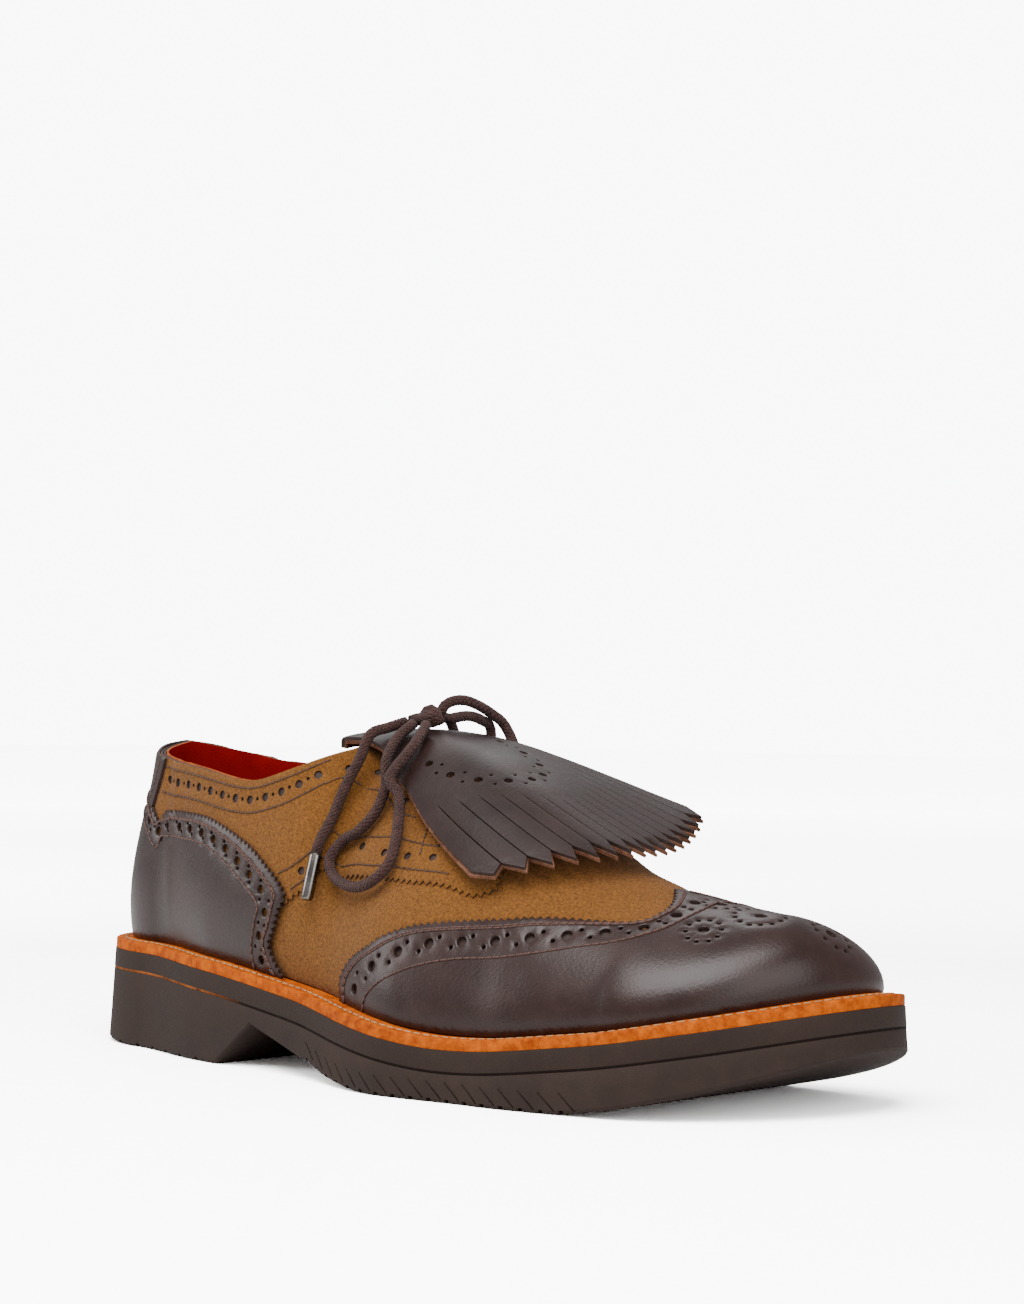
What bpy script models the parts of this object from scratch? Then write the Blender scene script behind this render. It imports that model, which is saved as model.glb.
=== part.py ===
# Country brogue, right shoe: a two-tone kiltie derby on a welted rubber unit sole.
# Metres, +Z up. The toe points to +X, the outer side of the foot to -Y, the floor is Z = 0.

import math

import bmesh
import bpy
import numpy as np
from mathutils import Vector

for old_object in list(bpy.data.objects):
    bpy.data.objects.remove(old_object, do_unlink=True)

MM = 0.001

# Driving sizes
SOLE_LENGTH = 304 * MM
BALL_WIDTH = 111 * MM
INSTEP_HEIGHT = 106 * MM
HEEL_HEIGHT = 35.5 * MM
TOE_SPRING = 18 * MM
ARCH_HEIGHT = 14 * MM

WELT_THICKNESS = 3.4 * MM
WELT_MARGIN = 6.5 * MM
WELT_WIDTH = 15 * MM
MIDSOLE_THICKNESS = 6.2 * MM
INSOLE_THICKNESS = 3.0 * MM
SOLE_CHAMFER = 1.2 * MM
SIDE_FLARE = 0.055
BREAST_SHARE = 0.291
BREAST_RUN = 18 * MM

WALL = 2.0 * MM
QUARTER_STEP = 0.9 * MM
OVERLAY = 1.3 * MM
GAP = 0.3 * MM
SKIN = OVERLAY + GAP
THROAT_HALF = 8 * MM
TONGUE_HALF = 17 * MM
TONGUE_THICKNESS = 2.0 * MM
TONGUE_CLEARANCE = 1.1 * MM
TONGUE_TOP_REACH = 11 * MM
KILTIE_THICKNESS = 2.4 * MM
KILTIE_STRIPS = 16
KILTIE_SLIT = 0.5 * MM
LACE_DIAMETER = 3.5 * MM
AGLET_DIAMETER = 4.0 * MM
AGLET_LENGTH = 15 * MM

SIDE_STATIONS = 40
POLE_STATION = 0.897
HEEL_FAN = 0.12
TOE_FAN = 0.82
HEEL_END_POWER = 2.0
TOE_END_POWER = 2.14

# Outline of the welt: half widths either side of the long axis, as shares of BALL_WIDTH
PLAN_COLUMNS = ("station", "lateral", "medial")
PLAN = [
    (0.12, 0.292, 0.322),
    (0.25, 0.378, 0.316),
    (0.42, 0.431, 0.335),
    (0.58, 0.528, 0.460),
    (0.70, 0.490, 0.510),
    (0.82, 0.428, 0.468),
]
HEEL_CENTRE = 0.0
TOE_CENTRE = 0.175

# Top of the welt above the floor, as shares of HEEL_HEIGHT
WELT_LINE_COLUMNS = ("station", "height")
WELT_LINE = [
    (0.00, 1.006),
    (0.12, 0.990),
    (0.25, 0.930),
    (0.40, 0.790),
    (0.52, 0.650),
    (0.66, 0.530),
    (0.80, 0.640),
    (0.92, 0.815),
    (1.00, 0.970),
]

# Underside of the sole: heel bevel and toe spring as shares of TOE_SPRING, arch as shares of ARCH_HEIGHT
TREAD_COLUMNS = ("station", "spring", "arch")
TREAD = [
    (0.000, 0.09, 0.0),
    (0.060, 0.02, 0.0),
    (0.110, 0.00, 0.0),
    (0.434, 0.00, 0.47),
    (0.493, 0.00, 0.18),
    (0.543, 0.00, 0.04),
    (0.580, 0.00, 0.0),
    (0.780, 0.00, 0.0),
    (0.840, 0.12, 0.0),
    (0.900, 0.36, 0.0),
    (0.950, 0.64, 0.0),
    (1.000, 1.00, 0.0),
]

# Sections of the last, from the feather edge up to the topline or the ridge of the vamp.
# top and height are shares of SOLE_LENGTH and INSTEP_HEIGHT, half and ridge of BALL_WIDTH,
# lean and rise shape the foot of the section, shoulder and slope its head (slope in degrees).
SECTION_COLUMNS = ("station", "top", "half", "height", "ridge", "lean", "rise", "shoulder", "slope")
SECTIONS = [
    (0.00, 0.064, 0.000, 0.990, 0.000, 0.042, 0.226, 0.208, 78.0),
    (0.12, 0.133, 0.227, 0.928, 0.000, 0.034, 0.226, 0.208, 84.0),
    (0.20, 0.201, 0.275, 0.905, 0.000, 0.030, 0.208, 0.189, 84.0),
    (0.29, 0.293, 0.297, 0.874, 0.000, 0.028, 0.208, 0.189, 80.0),
    (0.34, 0.342, 0.284, 0.906, 0.000, 0.030, 0.226, 0.200, 76.0),
    (0.38, 0.370, 0.246, 0.937, 0.000, 0.027, 0.245, 0.180, 66.0),
    (0.41, 0.390, 0.184, 0.965, 0.000, 0.022, 0.255, 0.155, 52.0),
    (0.43, 0.401, 0.117, 0.982, 0.000, 0.018, 0.260, 0.155, 34.0),
    (0.45, 0.414, 0.000, 0.992, 0.000, 0.018, 0.262, 0.190, 14.0),
    (0.50, 0.467, 0.000, 0.968, 0.000, 0.018, 0.264, 0.204, 12.0),
    (0.55, 0.523, 0.000, 0.930, 0.005, 0.020, 0.250, 0.226, 9.0),
    (0.60, 0.579, 0.000, 0.882, 0.010, 0.022, 0.236, 0.245, 7.0),
    (0.65, 0.635, 0.000, 0.808, 0.018, 0.025, 0.220, 0.264, 5.0),
    (0.70, 0.688, 0.000, 0.726, 0.027, 0.027, 0.200, 0.274, 4.0),
    (0.76, 0.753, 0.000, 0.630, 0.040, 0.030, 0.175, 0.270, 3.0),
    (0.82, 0.818, 0.000, 0.570, 0.055, 0.032, 0.155, 0.245, 2.0),
    (0.88, 0.872, 0.000, 0.546, 0.070, 0.032, 0.130, 0.190, 1.0),
    (0.93, 0.897, 0.000, 0.536, 0.080, 0.032, 0.120, 0.150, 0.0),
    (1.00, 0.897, 0.000, 0.536, 0.080, 0.032, 0.115, 0.140, 0.0),
]


def column(rows, columns, name):
    index = columns.index(name)
    return [row[index] for row in rows]


def smooth_table(xs, ys):
    """A monotone cubic through the rows, flat beyond the ends."""
    xs = np.array(xs, float)
    ys = np.array(ys, float)
    steps = np.diff(xs)
    rates = np.diff(ys) / steps
    slopes = np.zeros(len(xs))
    for k in range(1, len(xs) - 1):
        if rates[k - 1] * rates[k] > 0:
            before = 2 * steps[k] + steps[k - 1]
            after = steps[k] + 2 * steps[k - 1]
            slopes[k] = (before + after) / (before / rates[k - 1] + after / rates[k])
    slopes[0] = rates[0]
    slopes[-1] = rates[-1]

    def read(x):
        x = min(max(x, xs[0]), xs[-1])
        k = min(int(np.searchsorted(xs, x, side="right")) - 1, len(xs) - 2)
        t = (x - xs[k]) / steps[k]
        near = (1 + 2 * t) * (1 - t) ** 2 * ys[k] + t * t * (3 - 2 * t) * ys[k + 1]
        return near + steps[k] * (t * (1 - t) ** 2 * slopes[k] - t * t * (1 - t) * slopes[k + 1])

    return read


def reader(rows, columns, name, key="station", warp=None):
    xs = column(rows, columns, key)
    if warp:
        xs = [warp(x) for x in xs]
    return smooth_table(xs, column(rows, columns, name))


def turn_of(station):
    """Place along the outline, 0 at the heel and 1 at the toe, evenly turned round both ends."""
    return math.acos(1 - 2 * min(max(station, 0), 1)) / math.pi


def station_of(turn):
    return 0.5 - 0.5 * math.cos(math.pi * turn)


half_of = smooth_table(column(PLAN, PLAN_COLUMNS, "station"),
                       [(row[1] + row[2]) / 2 for row in PLAN])
centre_of = smooth_table([0] + column(PLAN, PLAN_COLUMNS, "station") + [1],
                         [HEEL_CENTRE] + [(row[2] - row[1]) / 2 for row in PLAN] + [TOE_CENTRE])
welt_share = reader(WELT_LINE, WELT_LINE_COLUMNS, "height")
spring_share = reader(TREAD, TREAD_COLUMNS, "spring")
arch_share = reader(TREAD, TREAD_COLUMNS, "arch")
section_of = {name: reader(SECTIONS, SECTION_COLUMNS, name, warp=turn_of)
              for name in SECTION_COLUMNS[1:]}


def outline_half(station):
    half = half_of(station)
    if station < HEEL_FAN:
        half *= (1 - ((HEEL_FAN - station) / HEEL_FAN) ** HEEL_END_POWER) ** 0.5
    if station > TOE_FAN:
        half *= max(1 - ((station - TOE_FAN) / (1 - TOE_FAN)) ** TOE_END_POWER, 0) ** 0.5
    return half


def outline_point(lap):
    """Edge of the welt seen from above. lap runs 0 to 2: heel, outer side, toe, inner side."""
    lap %= 2
    turn = lap if lap <= 1 else 2 - lap
    side = -1 if lap <= 1 else 1
    station = station_of(turn)
    x = (station - 0.5) * SOLE_LENGTH
    y = (centre_of(station) + side * outline_half(station)) * BALL_WIDTH
    return np.array([x, y])


def outline_normal(lap):
    step = 0.004
    along = outline_point(lap + step) - outline_point(lap - step)
    along /= np.linalg.norm(along)
    return np.array([along[1], -along[0]])


def welt_top(x):
    """Top of the welt at a distance along the sole."""
    return welt_share(x / SOLE_LENGTH + 0.5) * HEEL_HEIGHT


def tread_height(x):
    """Underside of the sole: flat heel, sloping breast, arch, flat ball and toe spring."""
    station = x / SOLE_LENGTH + 0.5
    breast_top = BREAST_SHARE + BREAST_RUN / SOLE_LENGTH
    arch_end = TREAD[3][0]
    if station <= BREAST_SHARE:
        return spring_share(station) * TOE_SPRING
    if station <= breast_top:
        return ARCH_HEIGHT * (station - BREAST_SHARE) / (breast_top - BREAST_SHARE)
    if station <= arch_end:
        down = (station - breast_top) / (arch_end - breast_top)
        return ARCH_HEIGHT * (1 + (TREAD[3][2] - 1) * down)
    return arch_share(station) * ARCH_HEIGHT + spring_share(station) * TOE_SPRING


def last_point(lap, rise):
    """Outer face of the upper. rise runs from 0 at the feather edge to 1 at the top."""
    lap %= 2
    turn = lap if lap <= 1 else 2 - lap
    side = -1 if lap <= 1 else 1
    station = station_of(turn)
    edge = outline_point(lap)
    outward = outline_normal(lap)
    foot = edge - outward * WELT_MARGIN
    row = {name: read(turn) for name, read in section_of.items()}
    if station < HEEL_FAN:
        open_row = {name: read(turn_of(HEEL_FAN)) for name, read in section_of.items()}
        angle = math.acos((HEEL_FAN - station) / HEEL_FAN)
        back = SECTIONS[0][1]
        row["top"] = open_row["top"] - (open_row["top"] - back) * math.cos(angle)
        row["half"] = open_row["half"] * math.sin(angle)
    head = np.array([(row["top"] - 0.5) * SOLE_LENGTH,
                     (row["ridge"] + side * row["half"]) * BALL_WIDTH])
    low = welt_top(foot[0]) + GAP
    high = row["height"] * INSTEP_HEIGHT
    away = foot - head
    away /= np.linalg.norm(away)
    slope = math.radians(row["slope"])
    reach = row["shoulder"] * INSTEP_HEIGHT
    p0 = np.array([foot[0], foot[1], low])
    lean = outward * row["lean"] * BALL_WIDTH
    p1 = p0 + np.array([lean[0], lean[1], row["rise"] * INSTEP_HEIGHT])
    p3 = np.array([head[0], head[1], high])
    p2 = p3 + reach * np.array([away[0] * math.cos(slope), away[1] * math.cos(slope), -math.sin(slope)])
    t = rise
    return ((1 - t) ** 3 * p0 + 3 * t * (1 - t) ** 2 * p1 + 3 * t * t * (1 - t) * p2 + t ** 3 * p3)


def ridge_normal(turn):
    """Upward normal on the closed ridge of the vamp, the same for the whole toe pole."""
    if section_of["top"](turn) > POLE_STATION - 0.001:
        return np.array([0.1, 0.0, 0.995])
    ahead = last_point(turn + 0.01, 1.0)
    behind = last_point(turn - 0.01, 1.0)
    along = ahead - behind
    normal = np.array([-along[2], 0.0, along[0]])
    return normal / np.linalg.norm(normal)


def last_normal(lap, rise):
    turn = lap % 2 if lap % 2 <= 1 else 2 - lap % 2
    if rise > 0.999 and is_closed(turn):
        return ridge_normal(turn)
    low = max(rise - 0.01, 0)
    high = min(rise + 0.01, 1)
    beside = min(rise, 0.985)
    across = last_point(lap + 0.004, beside) - last_point(lap - 0.004, beside)
    upward = last_point(lap, high) - last_point(lap, low)
    normal = np.cross(across, upward)
    return normal / np.linalg.norm(normal)


def on_last(lap, rise, depth=0.0):
    """A point at a distance outside (or, below zero, inside) the outer face of the upper."""
    return last_point(lap, rise) + last_normal(lap, rise) * depth


def is_closed(turn):
    return station_of(turn) > THROAT_END_STATION


def throat_half(turn):
    """Half the gap between the facings, narrowing towards the toe."""
    start = turn_of(THROAT_START_STATION)
    end = turn_of(THROAT_END_STATION)
    share = min(max((turn - start) / (end - start), 0), 1)
    return THROAT_HALF * (1 - 0.5 * share)


def top_rise(turn):
    """Where the upper ends: at the topline, at the edge of the throat or on the ridge."""
    if is_closed(turn):
        return 1.0
    row = {name: read(turn) for name, read in section_of.items()}
    if station_of(turn) < THROAT_START_STATION - 0.02:
        return 1.0
    low = 0.5
    high = 1.0
    for _ in range(24):
        middle = (low + high) / 2
        reach = abs(last_point(turn, middle)[1] - row["ridge"] * BALL_WIDTH)
        if reach > throat_half(turn):
            low = middle
        else:
            high = middle
    return high


def finish(name, mesh_data, material):
    """Weld the grid, turn its faces out and make it an object."""
    bmesh.ops.remove_doubles(mesh_data, verts=mesh_data.verts, dist=0.00002)
    bmesh.ops.dissolve_degenerate(mesh_data, dist=0.00002, edges=mesh_data.edges)
    bmesh.ops.recalc_face_normals(mesh_data, faces=mesh_data.faces)
    if mesh_data.calc_volume(signed=True) < 0:
        bmesh.ops.reverse_faces(mesh_data, faces=mesh_data.faces)
    mesh = bpy.data.meshes.new(name)
    mesh_data.to_mesh(mesh)
    mesh_data.free()
    mesh.shade_smooth()
    mesh.set_sharp_from_angle(angle=math.radians(40))
    mesh.materials.append(material)
    piece = bpy.data.objects.new(name, mesh)
    bpy.context.scene.collection.objects.link(piece)
    return piece


def add_face(mesh_data, corners):
    """A face from its corners, leaving out those that fall together."""
    kept = []
    for corner in corners:
        if not kept or (corner.co - kept[-1].co).length > 0.00002:
            kept.append(corner)
    if len(kept) > 1 and (kept[0].co - kept[-1].co).length <= 0.00002:
        kept.pop()
    if len(kept) > 2:
        mesh_data.faces.new(kept)


def plain_material(name, colour, roughness, metallic=0.0):
    material = bpy.data.materials.new(name)
    material.use_nodes = True
    shader = material.node_tree.nodes["Principled BSDF"]
    shader.inputs["Base Color"].default_value = (*colour, 1.0)
    shader.inputs["Roughness"].default_value = roughness
    shader.inputs["Metallic"].default_value = metallic
    return material


def shell(name, laps, outer, inner, material, loop=False):
    """A wall between two grids on the last. outer and inner give (rise, depth) rows for a turn."""
    data = bmesh.new()
    turns = [lap % 2 if lap % 2 <= 1 else 2 - lap % 2 for lap in laps]
    grids = []
    for rows_of in (outer, inner):
        grid = []
        for lap, turn in zip(laps, turns):
            grid.append([data.verts.new(Vector(on_last(lap, rise, depth)))
                         for rise, depth in rows_of(turn)])
        grids.append(grid)
    pairs = [(i, i + 1) for i in range(len(laps) - 1)]
    if loop:
        pairs.append((len(laps) - 1, 0))
    for i, k in pairs:
        for grid, flip in ((grids[0], False), (grids[1], True)):
            for j in range(len(grid[i]) - 1):
                corners = [grid[i][j], grid[k][j], grid[k][j + 1], grid[i][j + 1]]
                add_face(data, corners[::-1] if flip else corners)
        add_face(data, [grids[1][i][0], grids[1][k][0], grids[0][k][0], grids[0][i][0]])
        top_open = min(outer(turns[i])[-1][0], outer(turns[k])[-1][0]) < 0.999
        if top_open or not (is_closed(turns[i]) and is_closed(turns[k])):
            add_face(data, [grids[0][i][-1], grids[0][k][-1], grids[1][k][-1], grids[1][i][-1]])
    if not loop:
        for i, flip in ((0, False), (-1, True)):
            for j in range(len(grids[0][i]) - 1):
                corners = [grids[0][i][j], grids[0][i][j + 1], grids[1][i][j + 1], grids[1][i][j]]
                add_face(data, corners[::-1] if flip else corners)
    return finish(name, data, material)


def spread(start, end, count):
    return [start + (end - start) * k / count for k in range(count + 1)]


def sole_laps(stops=()):
    """Laps round the outline, with the nearest ones moved onto given stations."""
    turns = spread(0, 1, SIDE_STATIONS)
    for stop in stops:
        target = turn_of(stop)
        nearest = min(range(len(turns)), key=lambda k: abs(turns[k] - target))
        turns[nearest] = target
    return turns


def slab(name, rings, material, stops=()):
    """A closed layer of the sole. rings give (reach beyond the welt edge, height) at a distance x."""
    turns = sole_laps(stops)
    data = bmesh.new()
    levels = []
    for ring in rings:
        sides = []
        for side in (-1, 1):
            row = []
            for turn in turns:
                lap = turn if side < 0 else 2 - turn
                edge = outline_point(lap)
                edge = edge + outline_normal(lap) * ring(edge[0])[0]
                row.append((edge[0], edge[1], ring(edge[0])[1]))
            sides.append(row)
        for end in (0, -1):
            middle = [(a + b) / 2 for a, b in zip(sides[0][end], sides[1][end])]
            sides[0][end] = sides[1][end] = tuple(middle)
        levels.append([[data.verts.new(point) for point in row] for row in sides])
    for k in range(len(turns) - 1):
        for upper, lower in zip(levels, levels[1:]):
            for side in (0, 1):
                add_face(data, [upper[side][k], upper[side][k + 1], lower[side][k + 1], lower[side][k]])
        for level in (levels[0], levels[-1]):
            add_face(data, [level[0][k], level[0][k + 1], level[1][k + 1], level[1][k]])
    return finish(name, data, material)


THROAT_START_STATION = 0.43
THROAT_END_STATION = 0.63
QUARTER_END_STATION = 0.685
FACING_FROM = 0.35
FACING_TO = 0.47
FACING_STEPS = 6
SUEDE = plain_material("suede", (0.33, 0.17, 0.05), 0.95)
DARK_LEATHER = plain_material("dark_leather", (0.045, 0.026, 0.024), 0.4)
WELT_LEATHER = plain_material("welt_leather", (0.68, 0.16, 0.03), 0.6)
SOLE_RUBBER = plain_material("sole_rubber", (0.065, 0.042, 0.034), 0.7)
RED_LEATHER = plain_material("red_leather", (0.5, 0.02, 0.012), 0.5)
CORD = plain_material("cord", (0.07, 0.03, 0.028), 0.8)
METAL = plain_material("metal", (0.6, 0.55, 0.5), 0.25, 1.0)


def midsole_top(x):
    return welt_top(x) - WELT_THICKNESS - GAP


def outsole_top(x):
    return midsole_top(x) - MIDSOLE_THICKNESS - GAP


def flare_at(x, height):
    return SIDE_FLARE * (welt_top(x) - height)


def side_ring(height_of, inset=0.0):
    return lambda x: (flare_at(x, height_of(x)) - inset, height_of(x))


slab("outsole",
     [side_ring(outsole_top),
      side_ring(lambda x: tread_height(x) + SOLE_CHAMFER),
      side_ring(tread_height, SOLE_CHAMFER)],
     SOLE_RUBBER,
     stops=(BREAST_SHARE, BREAST_SHARE + BREAST_RUN / SOLE_LENGTH, 0.11, 0.58, 0.78))
slab("midsole",
     [side_ring(midsole_top), side_ring(lambda x: midsole_top(x) - MIDSOLE_THICKNESS)],
     SOLE_RUBBER)
insole_reach = -(WELT_MARGIN + SKIN + WALL + 2 * GAP)
slab("insole",
     [lambda x: (insole_reach, welt_top(x) + GAP + INSOLE_THICKNESS),
      lambda x: (insole_reach, welt_top(x) + GAP)],
     RED_LEATHER)


def welt():
    """The welt: a flat band round the sole, its inner edge under the insole."""
    data = bmesh.new()
    turns = sole_laps()
    laps = turns + [2 - turn for turn in reversed(turns[1:-1])]
    profile = [(0.0, -WELT_THICKNESS), (0.0, -0.6 * MM), (-0.6 * MM, 0.0),
               (-WELT_WIDTH, 0.0), (-WELT_WIDTH, -WELT_THICKNESS)]
    rings = []
    for lap in laps:
        edge = outline_point(lap)
        outward = outline_normal(lap)
        ring = []
        for reach, drop in profile:
            spot = edge + outward * reach
            ring.append(data.verts.new((spot[0], spot[1], welt_top(spot[0]) + drop)))
        rings.append(ring)
    for i in range(len(rings)):
        k = (i + 1) % len(rings)
        for j in range(len(profile)):
            m = (j + 1) % len(profile)
            add_face(data, [rings[i][j], rings[k][j], rings[k][m], rings[i][m]])
    return finish("welt", data, WELT_LEATHER)


welt()

# Lower edge of the quarter over the vamp, as a rise for a station
QUARTER_COLUMNS = ("station", "rise")
QUARTER_EDGE = [
    (0.000, 0.05),
    (0.300, 0.06),
    (0.383, 0.34),
    (0.437, 0.40),
    (0.508, 0.42),
    (0.563, 0.45),
    (0.609, 0.48),
    (0.647, 0.50),
    (0.669, 0.58),
    (0.684, 0.62),
    (0.715, 0.56),
    (0.741, 0.545),
    (0.800, 0.660),
    (0.850, 0.680),
    (1.000, 0.700),
]
quarter_edge = reader(QUARTER_EDGE, QUARTER_COLUMNS, "rise", warp=turn_of)
LOWER_ROWS = 4
UPPER_ROWS = 6
LINING_ROWS = 7
STEP_RISE = 0.012


def upper_rows(turn):
    top = top_rise(turn)
    edge = min(quarter_edge(turn), top - 0.1)
    step = QUARTER_STEP if station_of(turn) < QUARTER_END_STATION else 0.0
    rows = [(rise, -SKIN) for rise in spread(0, edge, LOWER_ROWS)]
    rows += [(rise, step - SKIN) for rise in spread(edge + STEP_RISE, top, UPPER_ROWS)]
    return rows


def lining_rows(turn):
    return [(rise, -SKIN - WALL) for rise in spread(0, top_rise(turn), LINING_ROWS)]



def upper_turns():
    """Stations of the upper: even turns, closer together where the collar runs into the throat."""
    turns = [turn for turn in spread(0, 1, SIDE_STATIONS)
             if not FACING_FROM - 0.01 < station_of(turn) < FACING_TO + 0.01]
    turns += [turn_of(station) for station in spread(FACING_FROM, FACING_TO, FACING_STEPS)]
    return sorted(turns)


side_turns = upper_turns()
all_laps = side_turns + [2 - turn for turn in reversed(side_turns[1:-1])]
shell("upper", all_laps, upper_rows, lining_rows, SUEDE, loop=True)


def grid_solid(name, outer, inner, material):
    """A closed wall between two grids of points with the same rows and columns."""
    data = bmesh.new()
    grids = [[[data.verts.new(Vector(point)) for point in row] for row in grid]
             for grid in (outer, inner)]
    last_row = len(outer) - 1
    last_column = len(outer[0]) - 1
    for i in range(last_row):
        for j in range(last_column):
            for grid, flip in ((grids[0], False), (grids[1], True)):
                corners = [grid[i][j], grid[i + 1][j], grid[i + 1][j + 1], grid[i][j + 1]]
                add_face(data, corners[::-1] if flip else corners)
    for i in range(last_row):
        for j in (0, last_column):
            add_face(data, [grids[0][i][j], grids[0][i + 1][j], grids[1][i + 1][j], grids[1][i][j]])
    for j in range(last_column):
        for i in (0, last_row):
            add_face(data, [grids[0][i][j], grids[0][i][j + 1], grids[1][i][j + 1], grids[1][i][j]])
    return finish(name, data, material)


TONGUE_FRONT_STATION = 0.68
TONGUE_COLUMNS = 4


def rise_at_half(turn, half):
    """How far up a closed section lies a given distance from the ridge, seen from above."""
    low = 0.3
    high = 1.0
    ridge = section_of["ridge"](turn) * BALL_WIDTH
    for _ in range(24):
        middle = (low + high) / 2
        if abs(last_point(turn, middle)[1] - ridge) > half:
            low = middle
        else:
            high = middle
    return high


def tongue_grid(depth):
    turns = [turn for turn in side_turns
             if FACING_TO - 0.03 < station_of(turn) < TONGUE_FRONT_STATION]
    grid = []
    for turn in turns:
        edge = rise_at_half(turn, TONGUE_HALF)
        rises = spread(edge, 0.985, TONGUE_COLUMNS)
        row = [on_last(turn, rise, -depth) for rise in rises]
        row += [on_last(2 - turn, rise, -depth) for rise in reversed(rises)]
        grid.append(row)
    lengthened = []
    for near, beyond in zip(grid[0], grid[1]):
        along = near - beyond
        lengthened.append(near + along / np.linalg.norm(along) * TONGUE_TOP_REACH)
    return [lengthened] + grid


tongue_depth = SKIN + WALL + TONGUE_CLEARANCE
grid_solid("tongue", tongue_grid(tongue_depth), tongue_grid(tongue_depth + TONGUE_THICKNESS),
           RED_LEATHER)

# Upper edge of the wing tip and of the heel counter on the last
EDGE_COLUMNS = ("station", "rise")
WING_EDGE = [
    (0.478, 0.060),
    (0.492, 0.150),
    (0.547, 0.262),
    (0.617, 0.367),
    (0.669, 0.433),
    (0.741, 0.545),
    (0.800, 0.660),
    (0.850, 0.680),
    (1.000, 0.700),
]
WING_PEAK_STATION = 0.812
COUNTER_EDGE = [
    (0.000, 0.660),
    (0.095, 0.680),
    (0.181, 0.715),
    (0.245, 0.710),
    (0.301, 0.625),
    (0.345, 0.480),
    (0.368, 0.370),
]
BACKSTAY_HALF = 0.085

wing_edge = reader(WING_EDGE, EDGE_COLUMNS, "rise", warp=turn_of)
counter_edge = reader(COUNTER_EDGE, EDGE_COLUMNS, "rise", warp=turn_of)
WING_LOWER_ROWS = 8
COUNTER_ROWS = 6


def laps_between(first, last):
    """The stations of the upper from one lap to another, with both ends on their exact places."""
    kept = [lap for lap in all_laps if first + 0.008 < lap < last - 0.008]
    return [first] + kept + [last]


def wing_tip():
    """The wing over the toe: low along both sides, and up to the ridge ahead of its peak."""
    data = bmesh.new()
    peak = min(side_turns, key=lambda turn: abs(turn - turn_of(WING_PEAK_STATION)))
    start = turn_of(WING_EDGE[0][0])
    laps = laps_between(start, 2 - start)
    count = WING_LOWER_ROWS + UPPER_ROWS
    layers = []
    for depth in (0.0, -OVERLAY):
        grid = []
        for lap in laps:
            turn = min(lap, 2 - lap)
            edge = wing_edge(turn)
            rises = spread(0, edge, WING_LOWER_ROWS) + spread(edge, 1.0, UPPER_ROWS)[1:]
            grid.append([data.verts.new(Vector(on_last(lap, rise, depth))) for rise in rises])
        layers.append(grid)

    def filled(i, j):
        if not (0 <= i < len(laps) - 1 and 0 <= j < count):
            return False
        return j < WING_LOWER_ROWS or peak - 0.001 < laps[i] and laps[i + 1] < 2 - peak + 0.001

    outer, inner = layers
    for i in range(len(laps)):
        for j in range(count + 1):
            if filled(i, j):
                add_face(data, [outer[i][j], outer[i + 1][j], outer[i + 1][j + 1], outer[i][j + 1]])
                add_face(data, [inner[i][j], inner[i][j + 1], inner[i + 1][j + 1], inner[i + 1][j]])
            if j < count and filled(i, j) != filled(i - 1, j):
                add_face(data, [outer[i][j], outer[i][j + 1], inner[i][j + 1], inner[i][j]])
            if j < count and i < len(laps) - 1 and filled(i, j) != filled(i, j - 1):
                add_face(data, [outer[i][j], outer[i + 1][j], inner[i + 1][j], inner[i][j]])
    bmesh.ops.delete(data, geom=[vert for vert in data.verts if not vert.link_faces], context="VERTS")
    return finish("toe_wing", data, DARK_LEATHER)


wing_tip()


def counter_rows(depth):
    return lambda turn: [(rise, QUARTER_STEP + depth)
                         for rise in spread(0, counter_edge(turn), COUNTER_ROWS)]


counter_end = turn_of(COUNTER_EDGE[-1][0])
counter_laps = ([-counter_end] + [-lap for lap in reversed(side_turns) if 0.008 < lap < counter_end - 0.008]
                + [lap for lap in side_turns if lap < counter_end - 0.008] + [counter_end])
shell("heel_counter", counter_laps, counter_rows(0.0), counter_rows(-OVERLAY), DARK_LEATHER)


def backstay_rows(depth):
    return lambda turn: [(rise, QUARTER_STEP + depth)
                         for rise in spread(counter_edge(turn) + 0.015, 1.0, 4)]


backstay_end = turn_of(BACKSTAY_HALF)
backstay_laps = [lap for lap in counter_laps if abs(lap) < backstay_end - 0.008]
backstay_laps = [-backstay_end] + backstay_laps + [backstay_end]
shell("backstay", backstay_laps, backstay_rows(0.0), backstay_rows(-OVERLAY), DARK_LEATHER)

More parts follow.
